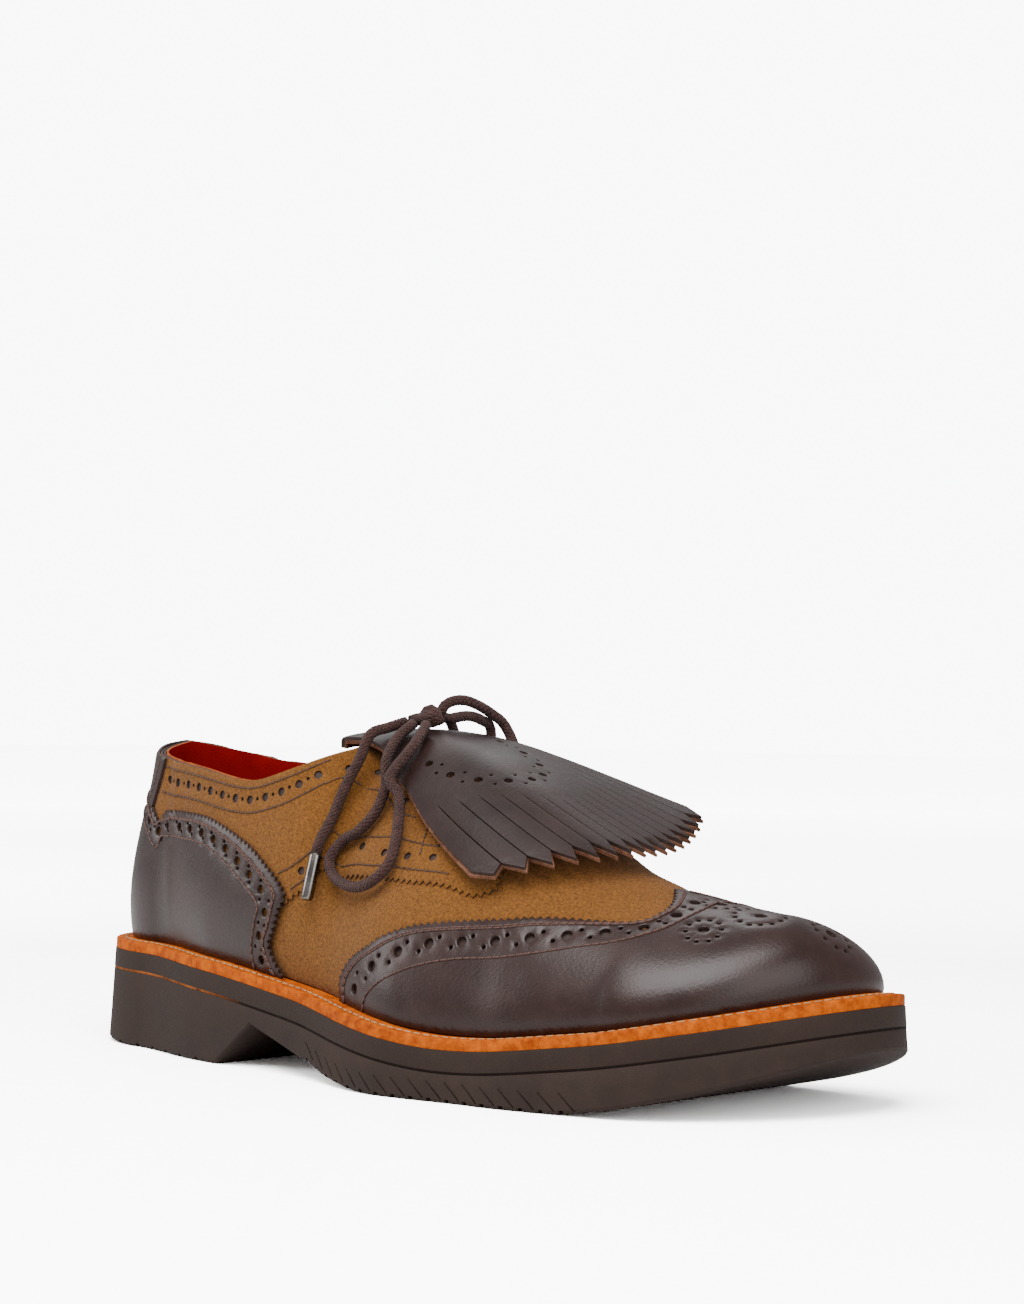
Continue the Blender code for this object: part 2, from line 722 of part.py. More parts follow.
# Upper face of the kiltie from the fold behind the throat to the tip of the fringe: the middle,
# the outer edge and the inner edge, as shares of SOLE_LENGTH, BALL_WIDTH and INSTEP_HEIGHT
KILTIE_COLUMNS = ("row", "station", "height", "outer", "outer_half", "outer_height",
                  "inner", "inner_half", "inner_height")
KILTIE = [
    (0.0, 0.356, 0.977, 0.364, 0.108, 0.968, 0.355, 0.126, 0.980),
    (1.0, 0.357, 0.998, 0.365, 0.111, 0.990, 0.356, 0.126, 1.002),
    (2.0, 0.365, 1.013, 0.372, 0.113, 1.003, 0.363, 0.126, 1.018),
    (3.0, 0.401, 1.026, 0.401, 0.122, 1.002, 0.401, 0.135, 1.026),
    (4.0, 0.434, 1.030, 0.436, 0.140, 0.980, 0.434, 0.158, 1.026),
    (5.0, 0.470, 1.023, 0.474, 0.185, 0.893, 0.470, 0.198, 1.015),
    (6.0, 0.516, 0.995, 0.512, 0.230, 0.846, 0.510, 0.234, 0.991),
    (7.0, 0.566, 0.946, 0.549, 0.270, 0.773, 0.555, 0.288, 0.948),
    (8.0, 0.625, 0.878, 0.590, 0.306, 0.708, 0.609, 0.342, 0.892),
    (9.0, 0.697, 0.783, 0.627, 0.333, 0.656, 0.664, 0.378, 0.838),
    (10.0, 0.763, 0.698, 0.655, 0.351, 0.619, 0.714, 0.405, 0.792),
]
KILTIE_SLIT_ROW = 7.8
KILTIE_ROWS = (0, 1, 1.5, 2, 2.5, 3, 3.5, 4, 4.5, 5, 5.5, 6, 6.5, 7, KILTIE_SLIT_ROW)
FRINGE_ROWS = (8.4, 9.0, 9.7)
OUTER_DROOP = 2.2
INNER_DROOP = 2.0
kiltie_of = {name: reader(KILTIE, KILTIE_COLUMNS, name, key="row") for name in KILTIE_COLUMNS[1:]}


def kiltie_point(row, across):
    """Upper face of the kiltie: across runs from -1 at the outer edge to 1 at the inner edge."""
    edge = "outer" if across < 0 else "inner"
    share = abs(across)
    droop = OUTER_DROOP if across < 0 else INNER_DROOP
    middle_y = 0.02 * row / KILTIE[-1][0]
    side = -1 if across < 0 else 1
    station = kiltie_of["station"](row)
    station += (kiltie_of[edge](row) - station) * share ** droop
    y = middle_y + (side * kiltie_of[edge + "_half"](row) - middle_y) * share
    height = kiltie_of["height"](row)
    height += (kiltie_of[edge + "_height"](row) - height) * share ** droop
    return np.array([(station - 0.5) * SOLE_LENGTH, y * BALL_WIDTH, height * INSTEP_HEIGHT])


def kiltie_normal(row, across):
    along = kiltie_point(min(row + 0.05, 10), across) - kiltie_point(max(row - 0.05, 0), across)
    beside = kiltie_point(row, min(across + 0.02, 1)) - kiltie_point(row, max(across - 0.02, -1))
    normal = np.cross(along, beside)
    return normal / np.linalg.norm(normal)


def kiltie():
    """A folded leather flap whose front is cut into pointed strips."""
    data = bmesh.new()

    def pair(row, across, shift=0.0):
        top = kiltie_point(row, across)
        beside = kiltie_point(row, min(across + 0.02, 1)) - kiltie_point(row, max(across - 0.02, -1))
        top = top + beside / np.linalg.norm(beside) * shift
        under = top - kiltie_normal(row, across) * KILTIE_THICKNESS
        return data.verts.new(Vector(top)), data.verts.new(Vector(under))

    borders = spread(-1, 1, KILTIE_STRIPS)
    flap = [[pair(row, across) for across in borders] for row in KILTIE_ROWS]
    for near, far in zip(flap, flap[1:]):
        for k in range(KILTIE_STRIPS):
            add_face(data, [near[k][0], far[k][0], far[k + 1][0], near[k + 1][0]])
            add_face(data, [near[k][1], near[k + 1][1], far[k + 1][1], far[k][1]])
        for k in (0, KILTIE_STRIPS):
            add_face(data, [near[k][0], near[k][1], far[k][1], far[k][0]])
    for k in range(KILTIE_STRIPS):
        add_face(data, [flap[0][k][0], flap[0][k + 1][0], flap[0][k + 1][1], flap[0][k][1]])
    for k in range(KILTIE_STRIPS):
        left = [flap[-1][k]]
        right = [flap[-1][k + 1]]
        for row in FRINGE_ROWS:
            left.append(pair(row, borders[k], KILTIE_SLIT / 2 if k > 0 else 0.0))
            right.append(pair(row, borders[k + 1], -KILTIE_SLIT / 2 if k < KILTIE_STRIPS - 1 else 0.0))
        tip = pair(10.0, (borders[k] + borders[k + 1]) / 2)
        for i in range(len(FRINGE_ROWS)):
            add_face(data, [left[i][0], left[i + 1][0], right[i + 1][0], right[i][0]])
            add_face(data, [left[i][1], right[i][1], right[i + 1][1], left[i + 1][1]])
            add_face(data, [left[i][0], left[i][1], left[i + 1][1], left[i + 1][0]])
            add_face(data, [right[i][0], right[i + 1][0], right[i + 1][1], right[i][1]])
        add_face(data, [left[-1][0], tip[0], right[-1][0]])
        add_face(data, [left[-1][1], right[-1][1], tip[1]])
        add_face(data, [left[-1][0], left[-1][1], tip[1], tip[0]])
        add_face(data, [right[-1][0], tip[0], tip[1], right[-1][1]])
    return finish("kiltie", data, DARK_LEATHER)


kiltie()

# Routes of the lace. On the kiltie a point has a row and a share across towards its own side,
# on the upper a station and a rise. lift is a share of LACE_DIAMETER above the last or the flap.
ROUTE_COLUMNS = ("ground", "along", "across", "lift")
NEAR_END = [
    ("kiltie", 4.34, 0.38, 1.00),
    ("kiltie", 4.00, 0.70, 0.85),
    ("kiltie", 3.80, 1.08, 1.15),
    ("upper", 0.434, 0.810, 1.75),
    ("upper", 0.431, 0.690, 0.80),
    ("upper", 0.428, 0.590, 0.60),
    ("upper", 0.421, 0.510, 0.60),
    ("upper", 0.420, 0.470, 0.60),
]
NEAR_LOOP = [
    ("kiltie", 4.66, 0.36, 1.00),
    ("kiltie", 4.60, 0.72, 0.80),
    ("kiltie", 4.75, 1.00, 0.90),
    ("upper", 0.488, 0.690, 1.10),
    ("upper", 0.485, 0.600, 0.65),
    ("upper", 0.470, 0.525, 0.60),
    ("upper", 0.446, 0.485, 0.60),
    ("upper", 0.436, 0.440, 0.60),
    ("upper", 0.442, 0.390, 0.60),
    ("upper", 0.462, 0.362, 0.60),
    ("upper", 0.494, 0.365, 0.60),
    ("upper", 0.520, 0.405, 0.60),
    ("upper", 0.534, 0.465, 0.60),
    ("upper", 0.532, 0.525, 0.60),
    ("upper", 0.525, 0.590, 0.75),
    ("upper", 0.516, 0.665, 1.40),
    ("kiltie", 5.40, 1.03, 1.10),
    ("kiltie", 5.40, 0.66, 0.80),
    ("kiltie", 5.10, 0.30, 1.00),
]
FAR_LOOP = [
    ("kiltie", 4.42, 0.34, 1.40),
    ("kiltie", 4.42, 0.52, 2.50),
    ("kiltie", 4.62, 0.80, 2.90),
    ("kiltie", 4.98, 1.12, 2.00),
    ("kiltie", 5.28, 1.34, 0.40),
    ("upper", 0.535, 0.640, 2.00),
    ("upper", 0.548, 0.570, 0.75),
    ("upper", 0.553, 0.520, 0.60),
    ("upper", 0.545, 0.430, 0.60),
    ("upper", 0.515, 0.370, 0.60),
    ("upper", 0.475, 0.350, 0.60),
    ("upper", 0.448, 0.385, 0.60),
    ("upper", 0.440, 0.450, 0.60),
    ("upper", 0.452, 0.520, 0.60),
    ("upper", 0.474, 0.600, 0.80),
    ("upper", 0.484, 0.680, 2.10),
    ("kiltie", 4.80, 1.32, 0.30),
    ("kiltie", 4.78, 1.08, 1.25),
    ("kiltie", 4.78, 0.74, 1.50),
    ("kiltie", 4.76, 0.34, 1.10),
]
FAR_END = [
    ("kiltie", 4.12, 0.32, 1.00),
    ("kiltie", 3.84, 0.72, 0.90),
    ("kiltie", 3.70, 1.10, 1.20),
    ("kiltie", 3.65, 1.36, 0.30),
    ("upper", 0.430, 0.740, 2.00),
    ("upper", 0.427, 0.660, 0.90),
    ("upper", 0.424, 0.590, 0.60),
    ("upper", 0.421, 0.520, 0.60),
    ("upper", 0.420, 0.470, 0.60),
]
CORD_SPACING = 2.2
KNOT_ROW = 4.62
KNOT_SIZE = (3.3, 2.6, 1.9)
KNOT_LIFT = 1.08


def route_points(route, side):
    """Points of a lace in the row frame; side is -1 on the outer side of the shoe, 1 inside."""
    points = []
    for ground, along, across, lift in route:
        if ground == "kiltie":
            share = min(across, 1.0)
            point = kiltie_point(along, side * share)
            beside = point - kiltie_point(along, side * (share - 0.05))
            point = point + beside / 0.05 * (across - share)
            point = point + kiltie_normal(along, side * share) * lift * LACE_DIAMETER
        else:
            turn = turn_of(along)
            point = on_last(turn if side < 0 else 2 - turn, across, lift * LACE_DIAMETER)
        points.append(point)
    return points


def smooth_route(points, spacing):
    """Evenly spaced points on a smooth curve through the given ones."""
    padded = [2 * points[0] - points[1]] + points + [2 * points[-1] - points[-2]]
    fine = []
    for k in range(1, len(padded) - 2):
        a, b, c, d = padded[k - 1:k + 3]
        for t in spread(0, 1, 12)[:-1]:
            fine.append(0.5 * (2 * b + (c - a) * t + (2 * a - 5 * b + 4 * c - d) * t * t
                               + (3 * b - a - 3 * c + d) * t ** 3))
    fine.append(points[-1])
    reach = [0.0]
    for near, far in zip(fine, fine[1:]):
        reach.append(reach[-1] + np.linalg.norm(far - near))
    count = max(2, round(reach[-1] / spacing))
    marks = spread(0, reach[-1], count)
    axes = [np.interp(marks, reach, [point[k] for point in fine]) for k in range(3)]
    return [np.array(point) for point in zip(*axes)]


def cord_tube(name, points, diameter):
    curve = bpy.data.curves.new(name, "CURVE")
    curve.dimensions = "3D"
    curve.bevel_depth = diameter / 2
    curve.bevel_resolution = 2
    curve.use_fill_caps = True
    spline = curve.splines.new("POLY")
    spline.points.add(len(points) - 1)
    for spot, point in zip(spline.points, points):
        spot.co = (*point, 1.0)
    curve.materials.append(CORD)
    tube = bpy.data.objects.new(name, curve)
    bpy.context.scene.collection.objects.link(tube)
    return tube


def aglet(name, start, end):
    """A metal tip that carries on from the end of a lace."""
    data = bmesh.new()
    along = (end - start) / np.linalg.norm(end - start)
    centre = end + along * (GAP + AGLET_LENGTH / 2)
    turned = Vector(along).to_track_quat("Z", "Y").to_matrix().to_4x4()
    turned.translation = Vector(centre)
    bmesh.ops.create_cone(data, cap_ends=True, segments=12, radius1=AGLET_DIAMETER / 2,
                          radius2=AGLET_DIAMETER / 2, depth=AGLET_LENGTH, matrix=turned)
    finish(name, data, METAL)


for name, route, side in (("lace_end_outer", NEAR_END, -1), ("lace_loop_outer", NEAR_LOOP, -1),
                          ("lace_loop_inner", FAR_LOOP, 1), ("lace_end_inner", FAR_END, 1)):
    lace = smooth_route(route_points(route, side), CORD_SPACING * LACE_DIAMETER)
    cord_tube(name, lace, LACE_DIAMETER)
    if "end" in name:
        aglet(name.replace("lace_end", "aglet"), lace[-2], lace[-1])


def knot():
    """The knot of the bow on the neck of the flap."""
    data = bmesh.new()
    bmesh.ops.create_icosphere(data, subdivisions=2, radius=0.5)
    centre = kiltie_point(KNOT_ROW, 0) + kiltie_normal(KNOT_ROW, 0) * KNOT_LIFT * LACE_DIAMETER
    for vert in data.verts:
        vert.co = Vector([centre[k] + vert.co[k] * KNOT_SIZE[k] * LACE_DIAMETER for k in range(3)])
    finish("lace_knot", data, CORD)


knot()

CROSSING_DIAMETER = 2.8 * MM
CROSSING_BARS = 7
CROSSING_FROM = 0.475
CROSSING_TO = 0.585


def crossing():
    """The lace running to and fro over the tongue, between the facings, as one bent tube."""
    turns = spread(turn_of(CROSSING_FROM), turn_of(CROSSING_TO), CROSSING_BARS)
    depth = tongue_depth - 3 * GAP - CROSSING_DIAMETER / 2
    corners = []
    for k, turn in enumerate(turns):
        across = throat_half(turn) - CROSSING_DIAMETER
        ridge = on_last(turn, 1.0, 0.0)
        middle = (on_last(turn, 0.97, -depth) + on_last(2 - turn, 0.97, -depth)) / 2
        corners.append(np.array([middle[0], ridge[1] + (across if k % 2 else -across), middle[2]]))
    spots = smooth_route(corners, 0.8 * CROSSING_DIAMETER)
    data = bmesh.new()
    rings = []
    for k, spot in enumerate(spots):
        along = spots[min(k + 1, len(spots) - 1)] - spots[max(k - 1, 0)]
        along /= np.linalg.norm(along)
        beside = np.cross(along, [0.0, 0.0, 1.0])
        beside /= np.linalg.norm(beside)
        upward = np.cross(beside, along)
        rings.append([data.verts.new(Vector(spot + CROSSING_DIAMETER / 2 *
                                            (beside * math.cos(angle) + upward * math.sin(angle))))
                      for angle in spread(0, 2 * math.pi, 8)[:-1]])
    for near, far in zip(rings, rings[1:]):
        for j in range(8):
            add_face(data, [near[j], near[(j + 1) % 8], far[(j + 1) % 8], far[j]])
    add_face(data, rings[0][::-1])
    add_face(data, rings[-1])
    return finish("lace_crossing", data, CORD)


crossing()
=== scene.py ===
# Country brogue, right shoe: leather, suede, broguing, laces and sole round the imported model
import bpy
import bmesh
import math
import numpy as np
from mathutils import Matrix, Vector, geometry
from mathutils.bvhtree import BVHTree
from mathutils.kdtree import KDTree


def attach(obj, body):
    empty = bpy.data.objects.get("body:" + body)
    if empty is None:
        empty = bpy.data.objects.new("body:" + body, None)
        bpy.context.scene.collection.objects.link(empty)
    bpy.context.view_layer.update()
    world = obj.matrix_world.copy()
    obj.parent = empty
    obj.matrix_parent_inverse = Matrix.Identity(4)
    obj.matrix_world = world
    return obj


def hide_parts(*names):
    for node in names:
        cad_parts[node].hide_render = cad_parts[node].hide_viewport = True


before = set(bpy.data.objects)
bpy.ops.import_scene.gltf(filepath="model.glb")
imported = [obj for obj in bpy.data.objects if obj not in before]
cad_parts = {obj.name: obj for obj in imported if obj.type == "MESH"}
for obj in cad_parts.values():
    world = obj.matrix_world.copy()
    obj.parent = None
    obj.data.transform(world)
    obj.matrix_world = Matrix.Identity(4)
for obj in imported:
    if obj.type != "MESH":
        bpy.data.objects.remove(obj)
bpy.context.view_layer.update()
mm = 0.001

# Camera, at the place fitted to the photograph
view = {"at": (0.6270, -0.6439, 0.1133), "turn": 43.137, "tip": -1.33, "roll": 0.667, "focal": 2802.5,
        "longSide": 1304, "sensor": 36}


def makeCamera():
    turn, tip, roll = (math.radians(view[k]) for k in ("turn", "tip", "roll"))
    ahead = Vector((-math.sin(turn) * math.cos(tip), math.cos(turn) * math.cos(tip), -math.sin(tip)))
    right = Vector((math.cos(turn), math.sin(turn), 0))
    up = right.cross(ahead)
    right, up = right * math.cos(roll) + up * math.sin(roll), up * math.cos(roll) - right * math.sin(roll)
    data = bpy.data.cameras.new("camera")
    data.sensor_width = view["sensor"]
    data.lens = view["focal"] * view["sensor"] / view["longSide"]
    cam = bpy.data.objects.new("camera", data)
    bpy.context.scene.collection.objects.link(cam)
    cam.matrix_world = Matrix((right, up, -ahead)).transposed().to_4x4()
    cam.location = view["at"]
    bpy.context.scene.camera = cam


makeCamera()
print("camera placed")

# The last: the same sections as the solids
last = {"length": 0.304, "ball": 0.111, "instep": 0.106, "heel": 0.0355, "margin": 0.0065, "gap": 0.0003,
        "fan": 0.38, "fanPower": 1.6, "heelFan": 0.12, "toeFan": 0.82, "toePower": 2.14, "closed": 0.45,
        "pole": 0.9}
plan = [(0.12, 0.292, 0.322), (0.25, 0.378, 0.316), (0.42, 0.431, 0.335), (0.58, 0.528, 0.460),
        (0.70, 0.490, 0.510), (0.82, 0.428, 0.468)]
weltLine = [(0.00, 1.006), (0.12, 0.990), (0.25, 0.930), (0.40, 0.790), (0.52, 0.650), (0.66, 0.530),
            (0.80, 0.640), (0.92, 0.815), (1.00, 0.970)]
sections = [  # station, top, half, height, ridge, lean, rise, shoulder, slope
    (0.00, 0.064, 0.000, 0.990, 0.000, 0.042, 0.226, 0.208, 78.0),
    (0.12, 0.133, 0.227, 0.928, 0.000, 0.034, 0.226, 0.208, 84.0),
    (0.20, 0.201, 0.275, 0.905, 0.000, 0.030, 0.208, 0.189, 84.0),
    (0.29, 0.293, 0.297, 0.874, 0.000, 0.028, 0.208, 0.189, 80.0),
    (0.34, 0.342, 0.284, 0.906, 0.000, 0.030, 0.226, 0.200, 76.0),
    (0.38, 0.370, 0.246, 0.937, 0.000, 0.027, 0.245, 0.180, 66.0),
    (0.41, 0.390, 0.184, 0.965, 0.000, 0.022, 0.255, 0.155, 52.0),
    (0.43, 0.401, 0.117, 0.982, 0.000, 0.018, 0.260, 0.155, 34.0),
    (0.45, 0.414, 0.000, 0.992, 0.000, 0.018, 0.262, 0.190, 14.0),
    (0.50, 0.467, 0.000, 0.968, 0.000, 0.018, 0.264, 0.204, 12.0),
    (0.55, 0.523, 0.000, 0.930, 0.005, 0.020, 0.250, 0.226, 9.0),
    (0.60, 0.579, 0.000, 0.882, 0.010, 0.022, 0.236, 0.245, 7.0),
    (0.65, 0.635, 0.000, 0.808, 0.018, 0.025, 0.220, 0.264, 5.0),
    (0.70, 0.688, 0.000, 0.726, 0.027, 0.027, 0.200, 0.274, 4.0),
    (0.76, 0.753, 0.000, 0.630, 0.040, 0.030, 0.175, 0.270, 3.0),
    (0.82, 0.818, 0.000, 0.570, 0.055, 0.032, 0.155, 0.245, 2.0),
    (0.88, 0.872, 0.000, 0.546, 0.070, 0.032, 0.130, 0.190, 1.0),
    (0.93, 0.897, 0.000, 0.536, 0.080, 0.032, 0.120, 0.150, 0.0),
    (1.00, 0.897, 0.000, 0.536, 0.080, 0.032, 0.115, 0.140, 0.0)]


def smoothTable(xs, ys):  # a monotone cubic through the rows
    xs, ys = np.array(xs, float), np.array(ys, float)
    steps = np.diff(xs)
    rates = np.diff(ys) / steps
    slopes = np.zeros(len(xs))
    for k in range(1, len(xs) - 1):
        if rates[k - 1] * rates[k] > 0:
            before, after = 2 * steps[k] + steps[k - 1], steps[k] + 2 * steps[k - 1]
            slopes[k] = (before + after) / (before / rates[k - 1] + after / rates[k])
    slopes[0], slopes[-1] = rates[0], rates[-1]

    def read(x):
        x = np.clip(x, xs[0], xs[-1])
        k = np.minimum(np.searchsorted(xs, x, side="right") - 1, len(xs) - 2)
        t = (x - xs[k]) / steps[k]
        near = (1 + 2 * t) * (1 - t) ** 2 * ys[k] + t * t * (3 - 2 * t) * ys[k + 1]
        return near + steps[k] * (t * (1 - t) ** 2 * slopes[k] - t * t * (1 - t) * slopes[k + 1])

    return read


def turnOf(station):
    return math.acos(1 - 2 * min(max(station, 0), 1)) / math.pi


def stationOf(turn):
    return 0.5 - 0.5 * math.cos(math.pi * turn)


def reachAlong(points):  # distance from the first point to each one
    return np.concatenate([[0], np.cumsum(np.linalg.norm(np.diff(points, axis=0), axis=1))])


halfOf = smoothTable([r[0] for r in plan], [(r[1] + r[2]) / 2 for r in plan])
centreOf = smoothTable([0] + [r[0] for r in plan] + [1], [0.0] + [(r[2] - r[1]) / 2 for r in plan] + [0.175])
weltShare = smoothTable(*zip(*weltLine))
sectionOf = [smoothTable([turnOf(r[0]) for r in sections], [r[k] for r in sections]) for k in range(1, 9)]


def outlinePoint(lap):  # welt edge from above; lap 0 to 2: heel, outer side, toe, inner side
    lap %= 2
    turn = lap if lap <= 1 else 2 - lap
    station = stationOf(turn)
    half = float(halfOf(station))
    if station < last["heelFan"]:
        half *= (1 - ((last["heelFan"] - station) / last["heelFan"]) ** 2) ** 0.5
    if station > last["toeFan"]:
        half *= max(1 - ((station - last["toeFan"]) / (1 - last["toeFan"])) ** last["toePower"], 0) ** 0.5
    side = -1 if lap <= 1 else 1
    return np.array([(station - 0.5) * last["length"], (float(centreOf(station)) + side * half) * last["ball"]])


def outlineNormal(lap):
    along = outlinePoint(lap + 0.004) - outlinePoint(lap - 0.004)
    along /= np.linalg.norm(along)
    return np.array([along[1], -along[0]])


def weltTop(x):
    return weltShare(x / last["length"] + 0.5) * last["heel"]


lapCount, riseCount = 400, 40
riseSteps = np.linspace(0, 1, riseCount + 1)


def sectionPoints(lap):
    turn = lap if lap <= 1 else 2 - lap
    side = -1 if lap <= 1 else 1
    station = stationOf(turn)
    outward = outlineNormal(lap)
    foot = outlinePoint(lap) - outward * last["margin"]
    top, half, height, ridge, lean, rise, shoulder, slope = (float(read(turn)) for read in sectionOf)
    if station < last["heelFan"]:
        openTop, openHalf = sections[1][1], sections[1][2]
        angle = math.acos((last["heelFan"] - station) / last["heelFan"])
        top = openTop - (openTop - sections[0][1]) * math.cos(angle)
        half = openHalf * math.sin(angle)
    head = np.array([(top - 0.5) * last["length"], (ridge + side * half) * last["ball"]])
    away = foot - head
    away /= np.linalg.norm(away)
    slope = math.radians(slope)
    p0 = np.array([*foot, float(weltTop(foot[0])) + last["gap"]])
    p1 = p0 + np.array([*(outward * lean * last["ball"]), rise * last["instep"]])
    p3 = np.array([*head, height * last["instep"]])
    p2 = p3 + shoulder * last["instep"] * np.array([*(away * math.cos(slope)), -math.sin(slope)])
    t = riseSteps[:, None]
    return (1 - t) ** 3 * p0 + 3 * t * (1 - t) ** 2 * p1 + 3 * t * t * (1 - t) * p2 + t ** 3 * p3


def layLast():
    laps = np.linspace(0, 2, lapCount + 1)
    spots = np.array([sectionPoints(lap if lap < 2 else 0.0) for lap in laps])
    along = np.roll(spots[:-1], -1, 0) - np.roll(spots[:-1], 1, 0)
    along = np.concatenate([along, along[:1]])
    upward = np.gradient(spots, axis=1)
    normals = np.cross(along, upward)
    sizes = np.linalg.norm(normals, axis=2, keepdims=True)
    normals = normals / np.maximum(sizes, 1e-12)
    stations = 0.5 - 0.5 * np.cos(math.pi * np.where(laps <= 1, laps, 2 - laps))
    closed = stations > last["closed"]  # forward of the collar both sides meet on the ridge
    for depth in (1, 0):
        near = normals[:, -1 - depth - 1]
        mixed = near + near[::-1]
        mixed /= np.linalg.norm(mixed, axis=1, keepdims=True)
        share = 1.0 if depth == 0 else 0.6
        normals[closed, -1 - depth] = (near * (1 - share) + mixed * share)[closed]
    pole = stations > last["pole"]
    normals[pole, -1] = np.array([0.1, 0, 0.995])
    normals /= np.linalg.norm(normals, axis=2, keepdims=True)
    lengths = np.linalg.norm(np.diff(spots, axis=1), axis=2)
    fromTop = np.concatenate([np.cumsum(lengths[:, ::-1], axis=1)[:, ::-1], np.zeros((len(laps), 1))], axis=1)
    turns = np.where(laps <= 1, laps, 2 - laps)
    heelShare = 1 - np.clip(1 - turns / last["fan"], 0, 1) ** last["fanPower"]
    toeShare = np.clip((turns - 1 + last["fan"]) / last["fan"], 0, 1) ** last["fanPower"]
    angles = math.pi / 2 * (heelShare + toeShare)  # the pattern opens like a fan at both ends
    rays = np.stack([-np.cos(angles), np.where(laps <= 1, -1, 1) * np.sin(angles)], axis=1)
    pattern = spots[:, -1:, :2] + rays[:, None, :] * fromTop[:, :, None]
    return spots, normals, pattern


lastSpots, lastNormals, pattern = layLast()
columns = riseCount + 1
patternTree = BVHTree.FromPolygons(
    [Vector((x, y, 0)) for x, y in pattern.reshape(-1, 2)],
    [(i * columns + j, (i + 1) * columns + j, (i + 1) * columns + j + 1, i * columns + j + 1)
     for i in range(lapCount) for j in range(riseCount)])


def gridRead(grid, i, j, s, t):
    s, t = s[:, None], t[:, None]
    return (grid[i, j] * (1 - s) * (1 - t) + grid[i + 1, j] * s * (1 - t)
            + grid[i + 1, j + 1] * s * t + grid[i, j + 1] * (1 - s) * t)


foldLines = []


def onLast(flat, lift):  # flat pattern points to places on the last, lifted off it
    flat = np.asarray(flat, float).reshape(-1, 2)
    cells = np.array([patternTree.find_nearest(Vector((x, y, 0)))[2] for x, y in flat])
    i, j = cells // riseCount, cells % riseCount
    s = np.full(len(flat), 0.5)
    t = np.full(len(flat), 0.5)
    a, b, c, d = pattern[i, j], pattern[i + 1, j], pattern[i + 1, j + 1], pattern[i, j + 1]
    for _ in range(6):
        here = gridRead(pattern, i, j, s, t)
        ds = (b - a) * (1 - t)[:, None] + (c - d) * t[:, None]
        dt = (d - a) * (1 - s)[:, None] + (c - b) * s[:, None]
        miss = flat - here
        area = ds[:, 0] * dt[:, 1] - ds[:, 1] * dt[:, 0]
        area = np.where(np.abs(area) < 1e-12, 1e-12, area)
        s = np.clip(s + (miss[:, 0] * dt[:, 1] - miss[:, 1] * dt[:, 0]) / area, 0, 1)
        t = np.clip(t + (ds[:, 0] * miss[:, 1] - ds[:, 1] * miss[:, 0]) / area, 0, 1)
    normal = gridRead(lastNormals, i, j, s, t)
    normal /= np.linalg.norm(normal, axis=1, keepdims=True)
    lift = np.array(np.broadcast_to(np.asarray(lift, float).reshape(-1), len(flat)))
    for line, depth, width in foldLines:
        near = np.full(len(flat), 9.0)
        for a, b in zip(line, line[1:]):
            share = np.clip((flat - a) @ (b - a) / ((b - a) @ (b - a)), 0, 1)
            near = np.minimum(near, np.linalg.norm(flat - a - share[:, None] * (b - a), axis=1))
        lift = lift + depth * np.exp(-(near / width) ** 2)
    return gridRead(lastSpots, i, j, s, t) + normal * np.asarray(lift, float).reshape(-1, 1)


def patternPoint(station, rise, side=-1):  # a named place of the last on the flat pattern
    turn = turnOf(station)
    lap = (turn if side < 0 else (2 - turn) % 2) / 2 * lapCount
    i = min(int(lap), lapCount - 1)
    j = min(int(rise * riseCount), riseCount - 1)
    return gridRead(pattern, np.array([i]), np.array([j]), np.array([lap - i]),
                    np.array([rise * riseCount - j]))[0]


# Soft folds where the foot bends, each a line of places, how deep and how wide
folds = [([(0.700, 0.66), (0.728, 0.80), (0.738, 0.96)], -0.55 * mm, 5 * mm),
         ([(0.745, 0.68), (0.765, 0.82), (0.770, 0.96)], 0.35 * mm, 5 * mm),
         ([(0.560, 0.30), (0.600, 0.40), (0.650, 0.46)], -0.35 * mm, 7 * mm),
         ([(0.60, 0.16), (0.66, 0.22), (0.72, 0.26)], -0.30 * mm, 8 * mm),
         ([(0.30, 0.86), (0.35, 0.78), (0.40, 0.72)], -0.35 * mm, 8 * mm)]
sides = (-1, 1)
foldLines = [(np.array([patternPoint(s, r, side) for s, r in places]), depth, width)
             for places, depth, width in folds for side in sides]
print("last laid out")


# Curves on the flat pattern
def smoothCurve(points, pitch):  # evenly spaced points on a smooth line through the given ones
    points = [np.asarray(p, float) for p in points]
    padded = [2 * points[0] - points[1]] + points + [2 * points[-1] - points[-2]]
    fine = []
    for k in range(1, len(padded) - 2):
        a, b, c, d = padded[k - 1:k + 3]
        for t in np.linspace(0, 1, 12, endpoint=False):
            fine.append(0.5 * (2 * b + (c - a) * t + (2 * a - 5 * b + 4 * c - d) * t * t
                               + (3 * b - a - 3 * c + d) * t ** 3))
    fine.append(points[-1])
    return spaced(fine, pitch)


def spaced(points, pitch):
    points = np.array(points)
    reach = reachAlong(points)
    count = max(2, int(round(reach[-1] / pitch)))
    marks = np.linspace(0, reach[-1], count + 1)
    return np.stack([np.interp(marks, reach, points[:, k]) for k in range(points.shape[1])], axis=1)


